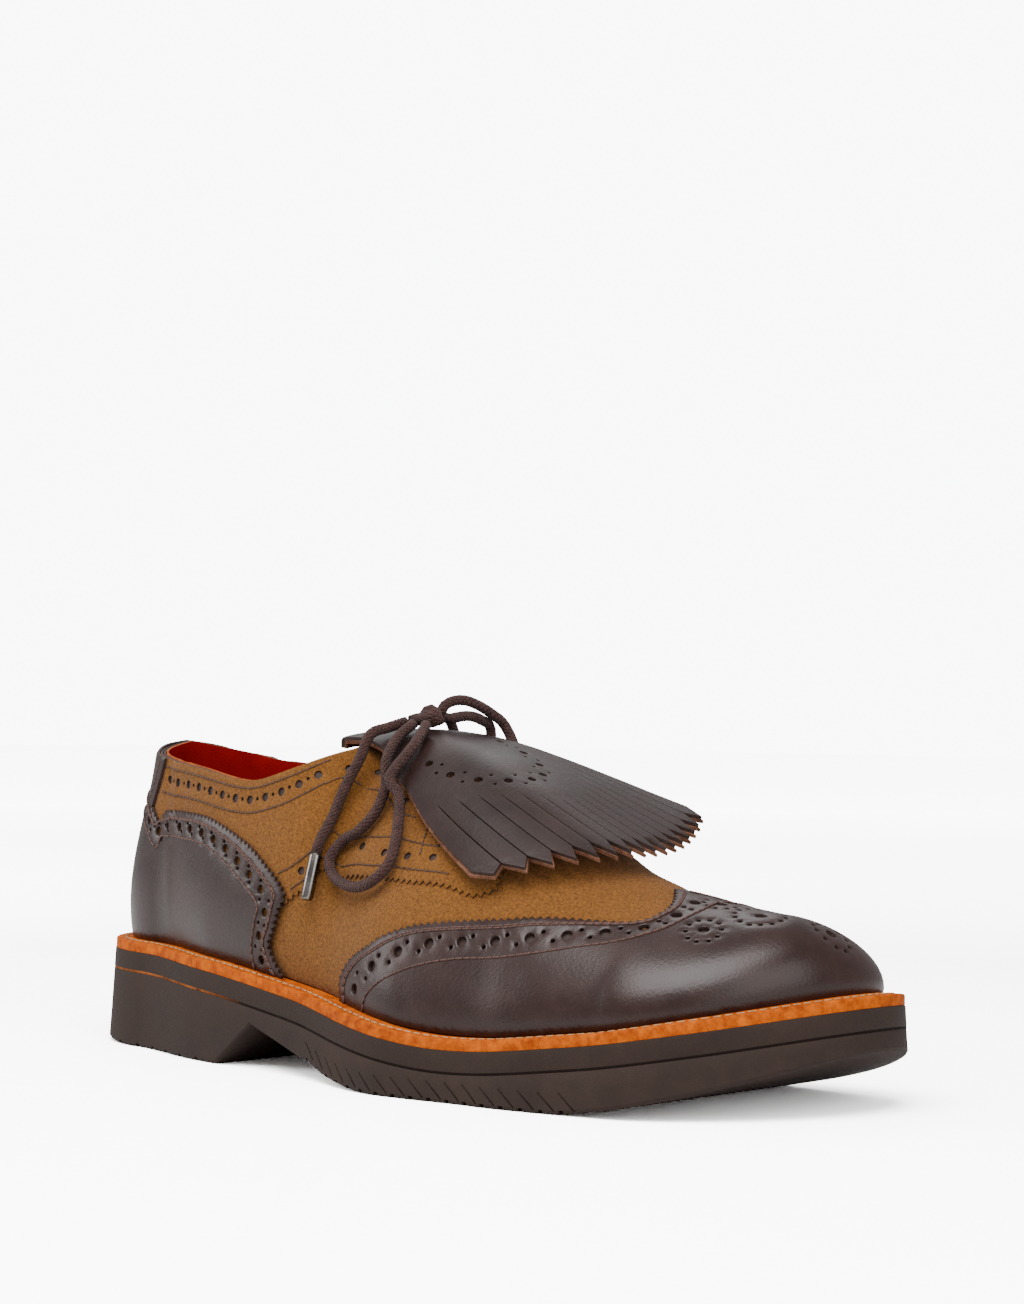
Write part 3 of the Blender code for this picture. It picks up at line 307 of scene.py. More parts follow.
# Leather panels cut flat and laid on the last
def trueHoles(holes, place):  # each round hole becomes the flat ellipse that is round once laid
    centres = np.array([hole[:2] for hole in holes])
    step = 0.3 * mm
    middle = place(centres, 0)
    du = (place(centres + [step, 0], 0) - middle) / step
    dv = (place(centres + [0, step], 0) - middle) / step
    shapes = []
    for k, (x, y, radius) in enumerate(holes):
        metric = np.array([[du[k] @ du[k], du[k] @ dv[k]], [du[k] @ dv[k], dv[k] @ dv[k]]])
        values, vectors = np.linalg.eigh(metric)
        squash = vectors @ np.diag(1 / np.sqrt(np.maximum(values, 0.05))) @ vectors.T
        shapes.append((np.array([x, y]), squash, radius))
    return shapes


def ring(centre, shape, radius, count):
    angles = np.linspace(0, 2 * math.pi, count, endpoint=False)
    return centre + (shape @ (radius * np.array([np.cos(angles), np.sin(angles)]))).T


def insideLoop(points, loop):
    inside = np.zeros(len(points), bool)
    x, y = points[:, 0], points[:, 1]
    for (x1, y1), (x2, y2) in zip(loop, np.roll(loop, -1, axis=0)):
        if y1 != y2:
            crossing = (y1 > y) != (y2 > y)
            inside ^= crossing & (x < (x2 - x1) * (y - y1) / (y2 - y1) + x1)
    return inside


def signedArea(loop):
    following = np.roll(loop, -1, axis=0)
    return np.sum(loop[:, 0] * following[:, 1] - following[:, 0] * loop[:, 1]) / 2


cutting = {"rim": 0.42 * mm, "small": 0.8 * mm, "holePoints": (18, 10), "rimPoints": (14, 9),
           "clear": 0.8 * mm, "inset": 0.55 * mm, "insetClear": 0.4 * mm, "netClear": 0.45, "grain": 2.2 * mm,
           "round": 0.28 * mm, "fade": 0.5 * mm, "merge": 1e-7}


def pointTree(points):
    tree = KDTree(len(points))
    for k, point in enumerate(points):
        tree.insert(point, k)
    tree.balance()
    return tree


def farFrom(points, others, gap):  # the flat points that keep away from the others
    tree = pointTree([(x, y, 0) for x, y in others])
    return points[[tree.find((x, y, 0))[2] > gap for x, y in points]]


def holeRings(shapes, grow, counts):
    return [ring(centre, shape, radius + grow, counts[0] if radius > cutting["small"] else counts[1])
            for centre, shape, radius in shapes]


def insetOf(outer):  # a line of points just inside the cut edge, which keeps the rounding even
    inward = np.roll(outer, -1, axis=0) - np.roll(outer, 1, axis=0)
    inward /= np.maximum(np.linalg.norm(inward, axis=1, keepdims=True), 1e-9)
    inward = np.stack([-inward[:, 1], inward[:, 0]], axis=1)
    inset = outer + inward * cutting["inset"]
    return farFrom(inset[insideLoop(inset, outer)], outer, cutting["insetClear"])


def netOf(loops, rims, windows, shapes, grain):  # an even net of points over the leather, clear of its cuts
    outer = loops[0]
    low, high = outer.min(0), outer.max(0)
    xs, ys = np.arange(low[0], high[0], grain), np.arange(low[1], high[1], grain * 0.866)
    net = np.array([(x + (k % 2) * grain / 2, y) for k, y in enumerate(ys) for x in xs])
    net = net[insideLoop(net, outer)]
    for window in loops[1:1 + windows]:
        net = net[~insideLoop(net, window)]
    net = farFrom(net, np.concatenate(loops + rims), grain * cutting["netClear"])
    for centre, shape, radius in shapes:
        back = np.linalg.inv(shape)
        net = net[np.linalg.norm((net - centre) @ back.T, axis=1) > radius + cutting["clear"]]
    return net


def cutFlat(outer, windows, holes, place, grain):  # flat leather as points and triangles, its holes open
    shapes = trueHoles(holes, place) if holes else []
    loops = [np.asarray(line, float) for line in [outer, *windows]]
    loops += holeRings(shapes, 0, cutting["holePoints"])
    loops = [loop if signedArea(loop) > 0 else loop[::-1] for loop in loops]
    rims = holeRings(shapes, cutting["rim"], cutting["rimPoints"])
    net = netOf(loops, rims, len(windows), shapes, grain)
    points = np.concatenate(loops + rims + [insetOf(loops[0]), net])
    faces, start = [], 0
    for loop in loops:
        faces.append(list(range(start, start + len(loop))))
        start += len(loop)
    cut = geometry.delaunay_2d_cdt([Vector(p) for p in points], [], faces, 0, cutting["merge"], True)
    spots, triangles, owners = cut[0], cut[2], cut[5]
    triangles = [t for t, o in zip(triangles, owners) if list(o) == [0]]
    used = sorted({k for t in triangles for k in t})
    index = {k: n for n, k in enumerate(used)}
    return np.array([tuple(s) for s in spots])[used], [[index[k] for k in t] for t in triangles]


def panel(name, outer, windows, holes, place, style, materials):  # cut flat, then laid on with a thickness
    flat, triangles = cutFlat(outer, windows, holes, place, style.get("grain", cutting["grain"]))
    edges = dict.fromkeys(pair for t in triangles for pair in ((t[0], t[1]), (t[1], t[2]), (t[2], t[0])))
    rim = [(a, b) for a, b in edges if (b, a) not in edges]
    top = place(flat, style["top"])
    rimTree = pointTree([top[k] for k in sorted({k for pair in rim for k in pair})])
    away = np.array([rimTree.find(p)[2] for p in top])
    drop = style.get("round", cutting["round"]) * np.exp(-(away / cutting["fade"]) ** 2)
    top = place(flat, style["top"] - drop)
    under = place(flat, style["bottom"])
    count = len(flat)
    solid = [list(t) for t in triangles] + [[k + count for k in reversed(t)] for t in triangles]
    slots = [0] * len(triangles) + [len(materials) - 1] * len(triangles)
    middles = flat[np.array(triangles)].mean(axis=1)
    for loop in style.get("paintedShadeUnder", []):  # hidden under the next leather and coloured dark there: painted shade seen through its holes
        for k in np.flatnonzero(insideLoop(middles, loop)):
            slots[k] = 1
    solid += [[b, a, a + count, b + count] for a, b in rim]
    slots += [1] * len(rim)
    return finishMesh(name, np.concatenate([top, under]), solid, materials, slots, style.get("angle", 50))


def standFor(node):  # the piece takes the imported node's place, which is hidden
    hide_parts(node)


def finishMesh(name, points, faces, materials, faceSlots=None, angle=38):
    mesh = bpy.data.meshes.new(name)
    mesh.from_pydata([tuple(p) for p in points], [], [tuple(int(k) for k in f) for f in faces])
    for material in materials:
        mesh.materials.append(material)
    if faceSlots is not None:
        mesh.polygons.foreach_set("material_index", np.array(faceSlots, np.int32))
    data = bmesh.new()
    data.from_mesh(mesh)
    bmesh.ops.recalc_face_normals(data, faces=data.faces)
    if data.calc_volume(signed=True) < 0:
        bmesh.ops.reverse_faces(data, faces=data.faces)
    data.to_mesh(mesh)
    data.free()
    mesh.update()
    piece = bpy.data.objects.new(name, mesh)
    bpy.context.scene.collection.objects.link(piece)
    mesh.shade_smooth()
    mesh.set_sharp_from_angle(angle=math.radians(angle))
    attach(piece, "root")
    return piece


# Materials
def group(name, inputs, outputs):
    tree = bpy.data.node_groups.new(name, "ShaderNodeTree")
    for label, kind, value in inputs:
        tree.interface.new_socket(label, in_out="INPUT", socket_type=kind).default_value = value
    for label, kind in outputs:
        tree.interface.new_socket(label, in_out="OUTPUT", socket_type=kind)
    return tree, tree.nodes.new("NodeGroupInput"), tree.nodes.new("NodeGroupOutput")


def mottleGroup():  # uneven tint and a fine relief, shared by all the leathers
    tree, given, result = group("mottle", [
        ("Dark", "NodeSocketColor", (0, 0, 0, 1)), ("Light", "NodeSocketColor", (1, 1, 1, 1)),
        ("Patch", "NodeSocketFloat", 60), ("Grain", "NodeSocketFloat", 900),
        ("Relief", "NodeSocketFloat", 0.2),
        ("Pores", "NodeSocketFloat", 0.5)],
        [("Color", "NodeSocketColor"), ("Normal", "NodeSocketVector"), ("Mask", "NodeSocketFloat")])
    add, link = tree.nodes.new, tree.links.new
    where = add("ShaderNodeTexCoord")
    patch, fine, pores = add("ShaderNodeTexNoise"), add("ShaderNodeTexNoise"), add("ShaderNodeTexVoronoi")
    patch.inputs["Detail"].default_value = 5
    patch.inputs["Roughness"].default_value = 0.62
    fine.inputs["Detail"].default_value = 3
    pores.feature = "SMOOTH_F1"
    for node, scale in ((patch, "Patch"), (fine, "Grain"), (pores, "Grain")):
        link(where.outputs["Object"], node.inputs["Vector"])
        link(given.outputs[scale], node.inputs["Scale"])
    spread = add("ShaderNodeMapRange")
    spread.inputs["From Min"].default_value = 0.32
    spread.inputs["From Max"].default_value = 0.68
    link(patch.outputs["Fac"], spread.inputs["Value"])
    blend = add("ShaderNodeMix")
    blend.data_type = "RGBA"
    link(spread.outputs["Result"], blend.inputs[0])
    link(given.outputs["Dark"], blend.inputs[6])
    link(given.outputs["Light"], blend.inputs[7])
    height = add("ShaderNodeMix")
    link(given.outputs["Pores"], height.inputs[0])
    link(fine.outputs["Fac"], height.inputs[2])
    link(pores.outputs["Distance"], height.inputs[3])
    bump = add("ShaderNodeBump")
    bump.inputs["Distance"].default_value = 0.0004
    link(given.outputs["Relief"], bump.inputs["Strength"])
    link(height.outputs[0], bump.inputs["Height"])
    link(blend.outputs[2], result.inputs["Color"])
    link(bump.outputs["Normal"], result.inputs["Normal"])
    link(spread.outputs["Result"], result.inputs["Mask"])
    return tree


mottle = mottleGroup()


def finishMaterial(name, look):
    material = bpy.data.materials.new(name)
    material.use_nodes = True
    tree = material.node_tree
    shader = tree.nodes["Principled BSDF"]
    for socket, value in look.get("sockets", {}).items():
        shader.inputs[socket].default_value = value
    skin = tree.nodes.new("ShaderNodeGroup")
    skin.node_tree = mottle
    skin.inputs["Dark"].default_value = (*look["dark"], 1)
    skin.inputs["Light"].default_value = (*look["light"], 1)
    for socket in ("Patch", "Grain", "Relief", "Pores"):
        skin.inputs[socket].default_value = look[socket.lower()]
    tree.links.new(skin.outputs["Color"], shader.inputs["Base Color"])
    tree.links.new(skin.outputs["Normal"], shader.inputs["Normal"])
    rough = tree.nodes.new("ShaderNodeMapRange")
    rough.inputs["To Min"].default_value = look["rough"][0]
    rough.inputs["To Max"].default_value = look["rough"][1]
    tree.links.new(skin.outputs["Mask"], rough.inputs["Value"])
    tree.links.new(rough.outputs["Result"], shader.inputs["Roughness"])
    return material


def wovenMaterial(name, look):  # crossed threads along the piece's own UV
    material = finishMaterial(name, look)
    tree = material.node_tree
    shader = tree.nodes["Principled BSDF"]
    where = tree.nodes.new("ShaderNodeTexCoord")
    waves = []
    for lean in (1, -1):
        turned = tree.nodes.new("ShaderNodeMapping")
        turned.inputs["Rotation"].default_value = (0, 0, lean * look["lean"])
        turned.inputs["Scale"].default_value = look["weave"]
        wave = tree.nodes.new("ShaderNodeTexWave")
        wave.inputs["Scale"].default_value = 1
        tree.links.new(where.outputs["UV"], turned.inputs["Vector"])
        tree.links.new(turned.outputs["Vector"], wave.inputs["Vector"])
        waves.append(wave)
    top = tree.nodes.new("ShaderNodeMath")
    top.operation = "MAXIMUM"
    for k, wave in enumerate(waves):
        tree.links.new(wave.outputs["Fac"], top.inputs[k])
    bump = tree.nodes.new("ShaderNodeBump")
    bump.inputs["Strength"].default_value = 1.0
    bump.inputs["Distance"].default_value = 0.0005
    tree.links.new(top.outputs[0], bump.inputs["Height"])
    tree.links.new(bump.outputs["Normal"], shader.inputs["Normal"])
    return material


finishes = {
    "calf": {"dark": (0.0135, 0.0046, 0.0034), "light": (0.0265, 0.0100, 0.0076), "patch": 45,
        "grain": 1100, "relief": 0.14, "pores": 0.8, "rough": (0.30, 0.42),
        "sockets": {"Coat Weight": 0.08, "Coat Roughness": 0.24, "Specular IOR Level": 0.32}},
    # the kiltie's calf, darker than the wing's calf: painted shade against the sky light on its upturned face
    "shadedFlapCalf": {"dark": (0.0100, 0.0036, 0.0028), "light": (0.0200, 0.0078, 0.0060), "patch": 45,
        "grain": 1100, "relief": 0.16, "pores": 0.8, "rough": (0.36, 0.48),
        "sockets": {"Coat Weight": 0.05, "Coat Roughness": 0.28, "Specular IOR Level": 0.26}},
    "calfEdge": {"dark": (0.016, 0.006, 0.004), "light": (0.034, 0.013, 0.008), "patch": 400, "grain": 2500,
        "relief": 0.4, "pores": 0.2, "rough": (0.6, 0.8)},
    "suede": {"dark": (0.078, 0.0275, 0.0042), "light": (0.200, 0.078, 0.0130), "patch": 1300,
        "grain": 2400, "relief": 0.35, "pores": 0.1, "rough": (0.88, 1.0),
        "sockets": {"Sheen Weight": 0.06, "Sheen Roughness": 0.6, "Specular IOR Level": 0.08}},
    "lining": {"dark": (0.17, 0.0035, 0.0030), "light": (0.27, 0.006, 0.0045), "patch": 50, "grain": 1200,
        "relief": 0.2, "pores": 0.7, "rough": (0.5, 0.65), "sockets": {"Specular IOR Level": 0.06}},
    "rawEdge": {"dark": (0.20, 0.040, 0.010), "light": (0.42, 0.11, 0.025), "patch": 260, "grain": 2600,
        "relief": 0.6, "pores": 0.1, "rough": (0.75, 0.95), "sockets": {"Specular IOR Level": 0.15}},
    "rawBrown": {"dark": (0.070, 0.026, 0.014), "light": (0.20, 0.090, 0.052), "patch": 300, "grain": 2600,
        "relief": 0.6, "pores": 0.1, "rough": (0.8, 0.95), "sockets": {"Specular IOR Level": 0.15}},
    "weltSkin": {"dark": (0.22, 0.031, 0.0004), "light": (0.50, 0.100, 0.0010), "patch": 320, "grain": 1500,
        "relief": 0.35, "pores": 0.2, "rough": (0.6, 0.8), "sockets": {"Specular IOR Level": 0.08}},
    "rubber": {"dark": (0.018, 0.0098, 0.0074), "light": (0.031, 0.0185, 0.0140), "patch": 60,
        "grain": 1500, "relief": 0.3, "pores": 0.3, "rough": (0.66, 0.84),
        "sockets": {"Specular IOR Level": 0.2}},
    "glue": {"dark": (0.060, 0.017, 0.005), "light": (0.30, 0.085, 0.018), "patch": 160, "grain": 1500,
        "relief": 0.3, "pores": 0.2, "rough": (0.7, 0.9), "sockets": {"Specular IOR Level": 0.06}},
    "laceWeave": {"dark": (0.022, 0.0075, 0.0060), "light": (0.060, 0.024, 0.019), "patch": 500,
        "grain": 3000, "relief": 0.2, "pores": 0.1, "rough": (0.6, 0.75), "weave": (3.2, 3.2, 1),
        "lean": 0.8, "sockets": {"Sheen Weight": 0.05, "Specular IOR Level": 0.2}},
    "darkThread": {"dark": (0.034, 0.012, 0.008), "light": (0.090, 0.034, 0.022), "patch": 900,
        "grain": 3500, "relief": 0.4, "pores": 0.1, "rough": (0.5, 0.7)},
    "tanThread": {"dark": (0.030, 0.010, 0.004), "light": (0.075, 0.028, 0.010), "patch": 900,
        "grain": 3500, "relief": 0.4, "pores": 0.1, "rough": (0.55, 0.75)},
    "paleThread": {"dark": (0.24, 0.11, 0.035), "light": (0.46, 0.28, 0.12), "patch": 900, "grain": 3500,
        "relief": 0.4, "pores": 0.1, "rough": (0.55, 0.75)},
    "steel": {"dark": (0.13, 0.115, 0.105), "light": (0.26, 0.235, 0.215), "patch": 120, "grain": 900,
        "relief": 0.05, "pores": 0.3, "rough": (0.16, 0.28), "sockets": {"Metallic": 1.0}}}
calf, shadedFlapCalf, calfEdge, suede, lining, rawEdge, rawBrown = (
    finishMaterial(name, finishes[name]) for name in
    ("calf", "shadedFlapCalf", "calfEdge", "suede", "lining", "rawEdge", "rawBrown"))
weltSkin, rubber, glue, darkThread, tanThread, paleThread, steel = (
    finishMaterial(name, finishes[name]) for name in
    ("weltSkin", "rubber", "glue", "darkThread", "tanThread", "paleThread", "steel"))
laceWeave = wovenMaterial("laceWeave", finishes["laceWeave"])
glueFade = {"from": -0.075, "to": -0.050, "dark": (0.008, 0.0045, 0.0035, 1)}


def fadeGlue():  # the glue shows only round the heel, further on the seam is dark
    tree = glue.node_tree
    add, link = tree.nodes.new, tree.links.new
    skin = next(node for node in tree.nodes if node.bl_idname == "ShaderNodeGroup")
    where, axes = add("ShaderNodeTexCoord"), add("ShaderNodeSeparateXYZ")
    fade, blend = add("ShaderNodeMapRange"), add("ShaderNodeMix")
    blend.data_type = "RGBA"
    fade.inputs["From Min"].default_value = glueFade["from"]
    fade.inputs["From Max"].default_value = glueFade["to"]
    blend.inputs[7].default_value = glueFade["dark"]
    link(where.outputs["Object"], axes.inputs[0])
    link(axes.outputs["X"], fade.inputs["Value"])
    link(fade.outputs["Result"], blend.inputs[0])
    link(skin.outputs["Color"], blend.inputs[6])
    link(blend.outputs[2], tree.nodes["Principled BSDF"].inputs["Base Color"])


fadeGlue()
print("materials ready")

# One stitch, modelled once and copied along every seam
stitch = {"length": 2.2 * mm, "radius": 0.27 * mm}


def modelStitch():
    bpy.ops.object.select_all(action="DESELECT")
    bpy.ops.mesh.primitive_cylinder_add(vertices=6, radius=stitch["radius"], depth=stitch["length"] * 0.8,
                                        end_fill_type="TRIFAN", rotation=(0, math.pi / 2, 0))
    rod = bpy.context.active_object
    rod.name = "stitchMaster"
    bpy.ops.object.transform_apply(location=False, rotation=True, scale=False)
    mesh = rod.data
    points = np.array([v.co[:] for v in mesh.vertices])
    ends = np.abs(points[:, 0]) > stitch["length"] * 0.3
    middle = ends & (np.hypot(points[:, 1], points[:, 2]) < 1e-6)
    points[middle, 0] *= 1.22
    points[:, 2] -= (np.abs(points[:, 0]) / stitch["length"]) ** 2 * 1.1 * stitch["radius"]
    faces = [list(p.vertices) for p in mesh.polygons]
    bpy.data.objects.remove(rod)
    return points, faces


stitchPoints, stitchFaces = modelStitch()


def sew(name, seams, place, lift, pitch, material, size=1.0):  # each seam a row of stitches over the leather
    points, faces = [], []
    for seam in seams:
        path = place(seam, lift)
        reach = reachAlong(path)
        count = max(1, int(reach[-1] / pitch))
        for k in range(count):
            mid = (k + 0.5) * reach[-1] / count
            a, b, m = (np.array([np.interp(at, reach, path[:, c]) for c in range(3)])
                       for at in (mid - pitch * 0.3, mid + pitch * 0.3, mid))
            flatSpot = np.array([[np.interp(mid, reach, seam[:, c]) for c in range(2)]])
            raised = place(flatSpot, lift + 1 * mm)[0] - place(flatSpot, lift)[0]
            along = (b - a) / np.linalg.norm(b - a)
            across = np.cross(raised, along)
            across /= np.linalg.norm(across)
            upward = np.cross(along, across)
            faces += [[j + len(points) * len(stitchPoints) for j in f] for f in stitchFaces]
            points.append(m + stitchPoints @ np.array([along, across, upward]) * size)
    piece = finishMesh(name, np.concatenate(points), faces, [material], angle=60)
    return piece


# The upper
def stretch(line, pitch):  # evenly spaced as measured on the shoe
    line = np.asarray(line, float)
    path = onLast(line, 0)
    reach = reachAlong(path)
    count = max(2, int(round(reach[-1] / pitch)))
    marks = np.linspace(0, reach[-1], count + 1)
    return np.stack([np.interp(marks, reach, line[:, k]) for k in range(2)], axis=1)


def centres(line, pitch):  # the middles of equal steps along a line, as measured on the shoe
    line = np.asarray(line, float)
    path = onLast(line, 0)
    reach = reachAlong(path)
    count = max(1, int(round(reach[-1] / pitch)))
    marks = (np.arange(count) + 0.5) * reach[-1] / count
    return np.stack([np.interp(marks, reach, line[:, k]) for k in range(2)], axis=1)


def row(points, side, fine=0.6 * mm):
    return smoothCurve([patternPoint(s, r, side) for s, r in points], fine)


def sawtooth(line, pitch, depth, side):
    marks = stretch(line, pitch / 2)
    along = np.gradient(marks, axis=0)
    along /= np.linalg.norm(along, axis=1, keepdims=True)
    left = np.stack([-along[:, 1], along[:, 0]], axis=1) * side
    step = 0.2 * mm
    size = np.linalg.norm(onLast(marks + left * step, 0) - onLast(marks, 0), axis=1, keepdims=True) / step
    push = np.where(np.arange(len(marks)) % 2 == 0, -0.4, 0.6)[:, None] * depth / size
    return marks + left * push


def broguing(edge, inner, style):  # one band: big holes, pairs of pinholes between them, rows of stitches
    count = 240
    marks = np.linspace(0, 1, count)
    a, b = (np.stack([np.interp(marks, np.linspace(0, 1, len(line)), line[:, k]) for k in range(2)], axis=1)
            for line in (stretch(edge, 1 * mm), stretch(inner, 1 * mm)))
    seams = [stretch(a * (1 - s) + b * s, 0.8 * mm) for s in style["seams"]]
    path = onLast(a * (1 - style["row"]) + b * style["row"], 0)
    reach = reachAlong(path)
    number = int(round(reach[-1] / style["pitch"]))

    def spot(step, share):
        at = np.interp(step * reach[-1] / number, reach, marks) * (count - 1)
        line = a * (1 - share) + b * share
        return np.array([np.interp(at, np.arange(count), line[:, k]) for k in range(2)])

    holes = [(*spot(k + 0.5, style["row"]), style["hole"] / 2) for k in range(number)]
    for k in range(1, number):
        holes += [(*spot(k, style["row"] + push), style["pin"] / 2) for push in (-style["pair"], style["pair"])]
    return holes, seams


wing = {  # places are shares of the length and of the rise from welt to top edge
    "edge": [(0.476, 0.0), (0.476, 0.08), (0.492, 0.15), (0.524, 0.217), (0.547, 0.267), (0.578, 0.317),
             (0.617, 0.367), (0.669, 0.433), (0.741, 0.55), (0.806, 0.65), (0.819, 0.767), (0.813, 0.867),
             (0.794, 0.985)],
    "inner": [(0.524, 0.0), (0.530, 0.06), (0.547, 0.117), (0.575, 0.175), (0.609, 0.233), (0.655, 0.29),
              (0.713, 0.35), (0.765, 0.435), (0.806, 0.517), (0.835, 0.62), (0.845, 0.717), (0.847, 0.85),
              (0.840, 0.985)],
    "row": 0.60, "pair": 0.15, "seams": (0.20, 0.25, 1.06), "pitch": 12.0 * mm, "hole": 3.5 * mm,
    "pin": 1.6 * mm, "teeth": (2.5 * mm, 1.15 * mm)}
counter = {
    "edge": [(0.0, 0.665), (0.095, 0.667), (0.13, 0.70), (0.181, 0.717), (0.245, 0.717), (0.301, 0.633),
             (0.345, 0.483), (0.376, 0.35), (0.368, 0.283), (0.361, 0.20), (0.353, 0.133), (0.361, 0.067),
             (0.376, 0.0)],
    "inner": [(0.0, 0.535), (0.095, 0.54), (0.13, 0.565), (0.181, 0.58), (0.235, 0.575), (0.28, 0.50),
              (0.315, 0.39), (0.335, 0.31), (0.332, 0.24), (0.328, 0.17), (0.325, 0.10), (0.328, 0.0)],
    "row": 0.58, "pair": 0.19, "seams": (0.22, 0.27, 0.99), "pitch": 8.0 * mm, "hole": 3.1 * mm,
    "pin": 1.4 * mm, "teeth": (2.3 * mm, 1.3 * mm)}
quarter = {
    "edge": [(0.33, 0.0), (0.34, 0.15), (0.355, 0.25), (0.376, 0.32), (0.383, 0.333), (0.406, 0.367),
             (0.437, 0.40), (0.508, 0.417), (0.563, 0.45), (0.609, 0.483), (0.640, 0.490), (0.655, 0.517),
             (0.664, 0.55), (0.658, 0.62), (0.645, 0.72), (0.632, 0.82)],
    "seam": [(0.36, 0.45), (0.383, 0.47), (0.406, 0.50), (0.437, 0.525), (0.508, 0.545), (0.563, 0.57),
             (0.600, 0.60)],
    "holes": [(0.428, 0.83), (0.453, 0.767), (0.484, 0.733), (0.508, 0.683)],
    "lowHoles": [(0.395, 0.435), (0.43, 0.475), (0.47, 0.49), (0.508, 0.495), (0.545, 0.515), (0.58, 0.545)],
    "frontSeam": [(0.405, 0.80), (0.44, 0.72), (0.475, 0.68), (0.508, 0.635), (0.535, 0.64)],
    "barSeam": [(0.555, 0.633), (0.559, 0.583), (0.563, 0.533)],
    "seamIn": 0.035, "lowHole": 2.7 * mm, "teeth": (2.6 * mm, 1.6 * mm), "facing": 7.5 * mm, "narrow": 0.45}


def flip(points):
    return np.asarray(points)[::-1]


def facing(side, start=0.63, end=0.43, count=26):  # the edge of the throat, a few mm from the ridge
    points = []
    for station in np.linspace(start, end, count):
        share = min(max((station - end) / (start - end), 0), 1)
        gap = quarter["facing"] * (1 - quarter["narrow"] * share)
        low, high = 0.5, 1.0
        ridgeY = float(sectionOf[3](turnOf(station))) * last["ball"]
        for _ in range(18):
            middle = (low + high) / 2
            if abs(onLast([patternPoint(station, middle, side)], 0)[0][1] - ridgeY) > gap:
                low = middle
            else:
                high = middle
        points.append(patternPoint(station, low, side))
    return points


def topline(side, rise=0.985, start=0.425, count=60):
    turns = np.linspace(turnOf(start), 0, count)
    return [patternPoint(stationOf(t), rise, side) for t in turns]


def lowEdge(side, start, end, count):
    turns = np.linspace(turnOf(start), turnOf(end), count)
    return [patternPoint(stationOf(t), 0.0, side) for t in turns]


def ringRound(parts):  # one closed line from its parts, with no two points together
    loop = np.concatenate([np.asarray(p, float).reshape(-1, 2) for p in parts])
    kept = [loop[0]]
    for point in loop[1:]:
        if np.linalg.norm(point - kept[-1]) > 0.12 * mm:
            kept.append(point)
    if np.linalg.norm(kept[0] - kept[-1]) < 0.12 * mm:
        kept.pop()
    return np.array(kept)


mouth = ringRound([facing(-1), topline(-1), flip(topline(1))[1:], flip(facing(1))])
wholeFoot = ringRound([lowEdge(-1, 0, 1, 150), lowEdge(1, 1, 0, 150)[1:-1]])
mouthIn = ringRound([facing(-1), topline(-1, 0.992), flip(topline(1, 0.992))[1:], flip(facing(1))])
inside = panel("lining", wholeFoot, [mouthIn], [], onLast,
               {"top": -2.6 * mm, "bottom": -3.5 * mm, "grain": 3.2 * mm}, [rawEdge, rawEdge, lining])
print("lining laid")

# Quarters: one piece from the outer facing round the heel to the inner one
quarterEdges = {side: row(quarter["edge"], side) for side in sides}
fronts = {side: sawtooth(quarterEdges[side], *quarter["teeth"], side) for side in sides}
quarterLoop = ringRound([fronts[-1], facing(-1), topline(-1), flip(topline(1))[1:], flip(facing(1)),
                         flip(fronts[1]), lowEdge(1, 0.33, 0, 60)[1:], lowEdge(-1, 0, 0.33, 60)[1:-1]])
toplineBand = {"seams": (0.058, 0.195), "row": 0.122, "pitch": 7.4 * mm, "hole": 2.9 * mm, "pin": 1.3 * mm}


def belowTopline(side, share, start=0.405, end=0.10):
    turns = np.linspace(turnOf(start), turnOf(end), 60)
    return [patternPoint(stationOf(t), 1 - share, side) for t in turns]


quarterHoles, quarterSeams = [], []
for side in sides:
    spots = centres(belowTopline(side, toplineBand["row"]), toplineBand["pitch"])
    quarterHoles += [(*spot, toplineBand["hole"] / 2) for spot in spots]
    quarterHoles += [(*((a + b) / 2), toplineBand["pin"] / 2) for a, b in zip(spots, spots[1:])]
    quarterHoles += [(*patternPoint(s, r, side), toplineBand["hole"] / 2)
                     for s, r in quarter["holes"]]
    quarterSeams += [stretch(belowTopline(side, share), 0.8 * mm) for share in toplineBand["seams"]]
    quarterSeams.append(row(quarter["frontSeam"], side))
    quarterSeams.append(row(quarter["seam"], side))
    quarterSeams.append(row([(s, r + quarter["seamIn"]) for s, r in quarter["edge"][4:10]], side))
    quarterSeams.append(row(quarter["barSeam"], side))
    quarterHoles += [(*patternPoint(s, r, side), quarter["lowHole"] / 2) for s, r in quarter["lowHoles"]]
quarters = panel("quarters", quarterLoop, [], quarterHoles, onLast,
                 {"top": -0.7 * mm, "bottom": -1.55 * mm, "grain": 2.4 * mm}, [suede, calfEdge])
sew("quarterStitches", quarterSeams, onLast, -0.58 * mm, 2.6 * mm, tanThread, 1.2)
print("quarters laid")

# Wing tip
wingEdges = {side: row(wing["edge"], side) for side in sides}
wingTeeth = {side: sawtooth(wingEdges[side], *wing["teeth"], side) for side in sides}
wingFoot = [lowEdge(-1, wing["edge"][0][0], 1, 90)[1:], lowEdge(1, 1, wing["edge"][0][0], 90)[1:-1]]
wingLoop = ringRound([flip(wingTeeth[-1]), *wingFoot, wingTeeth[1]])
wingHoles, wingSeams = [], []
for side in sides:
    holes, seams = broguing(wingEdges[side], row(wing["inner"], side), wing)
    wingHoles += holes
    wingSeams += seams


medallion = {"centre": (0.1185, 0.0085), "hole": 3.5 * mm, "pin": 1.56 * mm, "middle": (0.002, -0.0045),
             "lobes": [(-0.0135, -0.003), (0.0185, 0.008), (-0.0055, -0.0215), (0.006, 0.0215)],
             "middleRing": (7.6 * mm, 14), "lobeRing": (5.3 * mm, 10)}


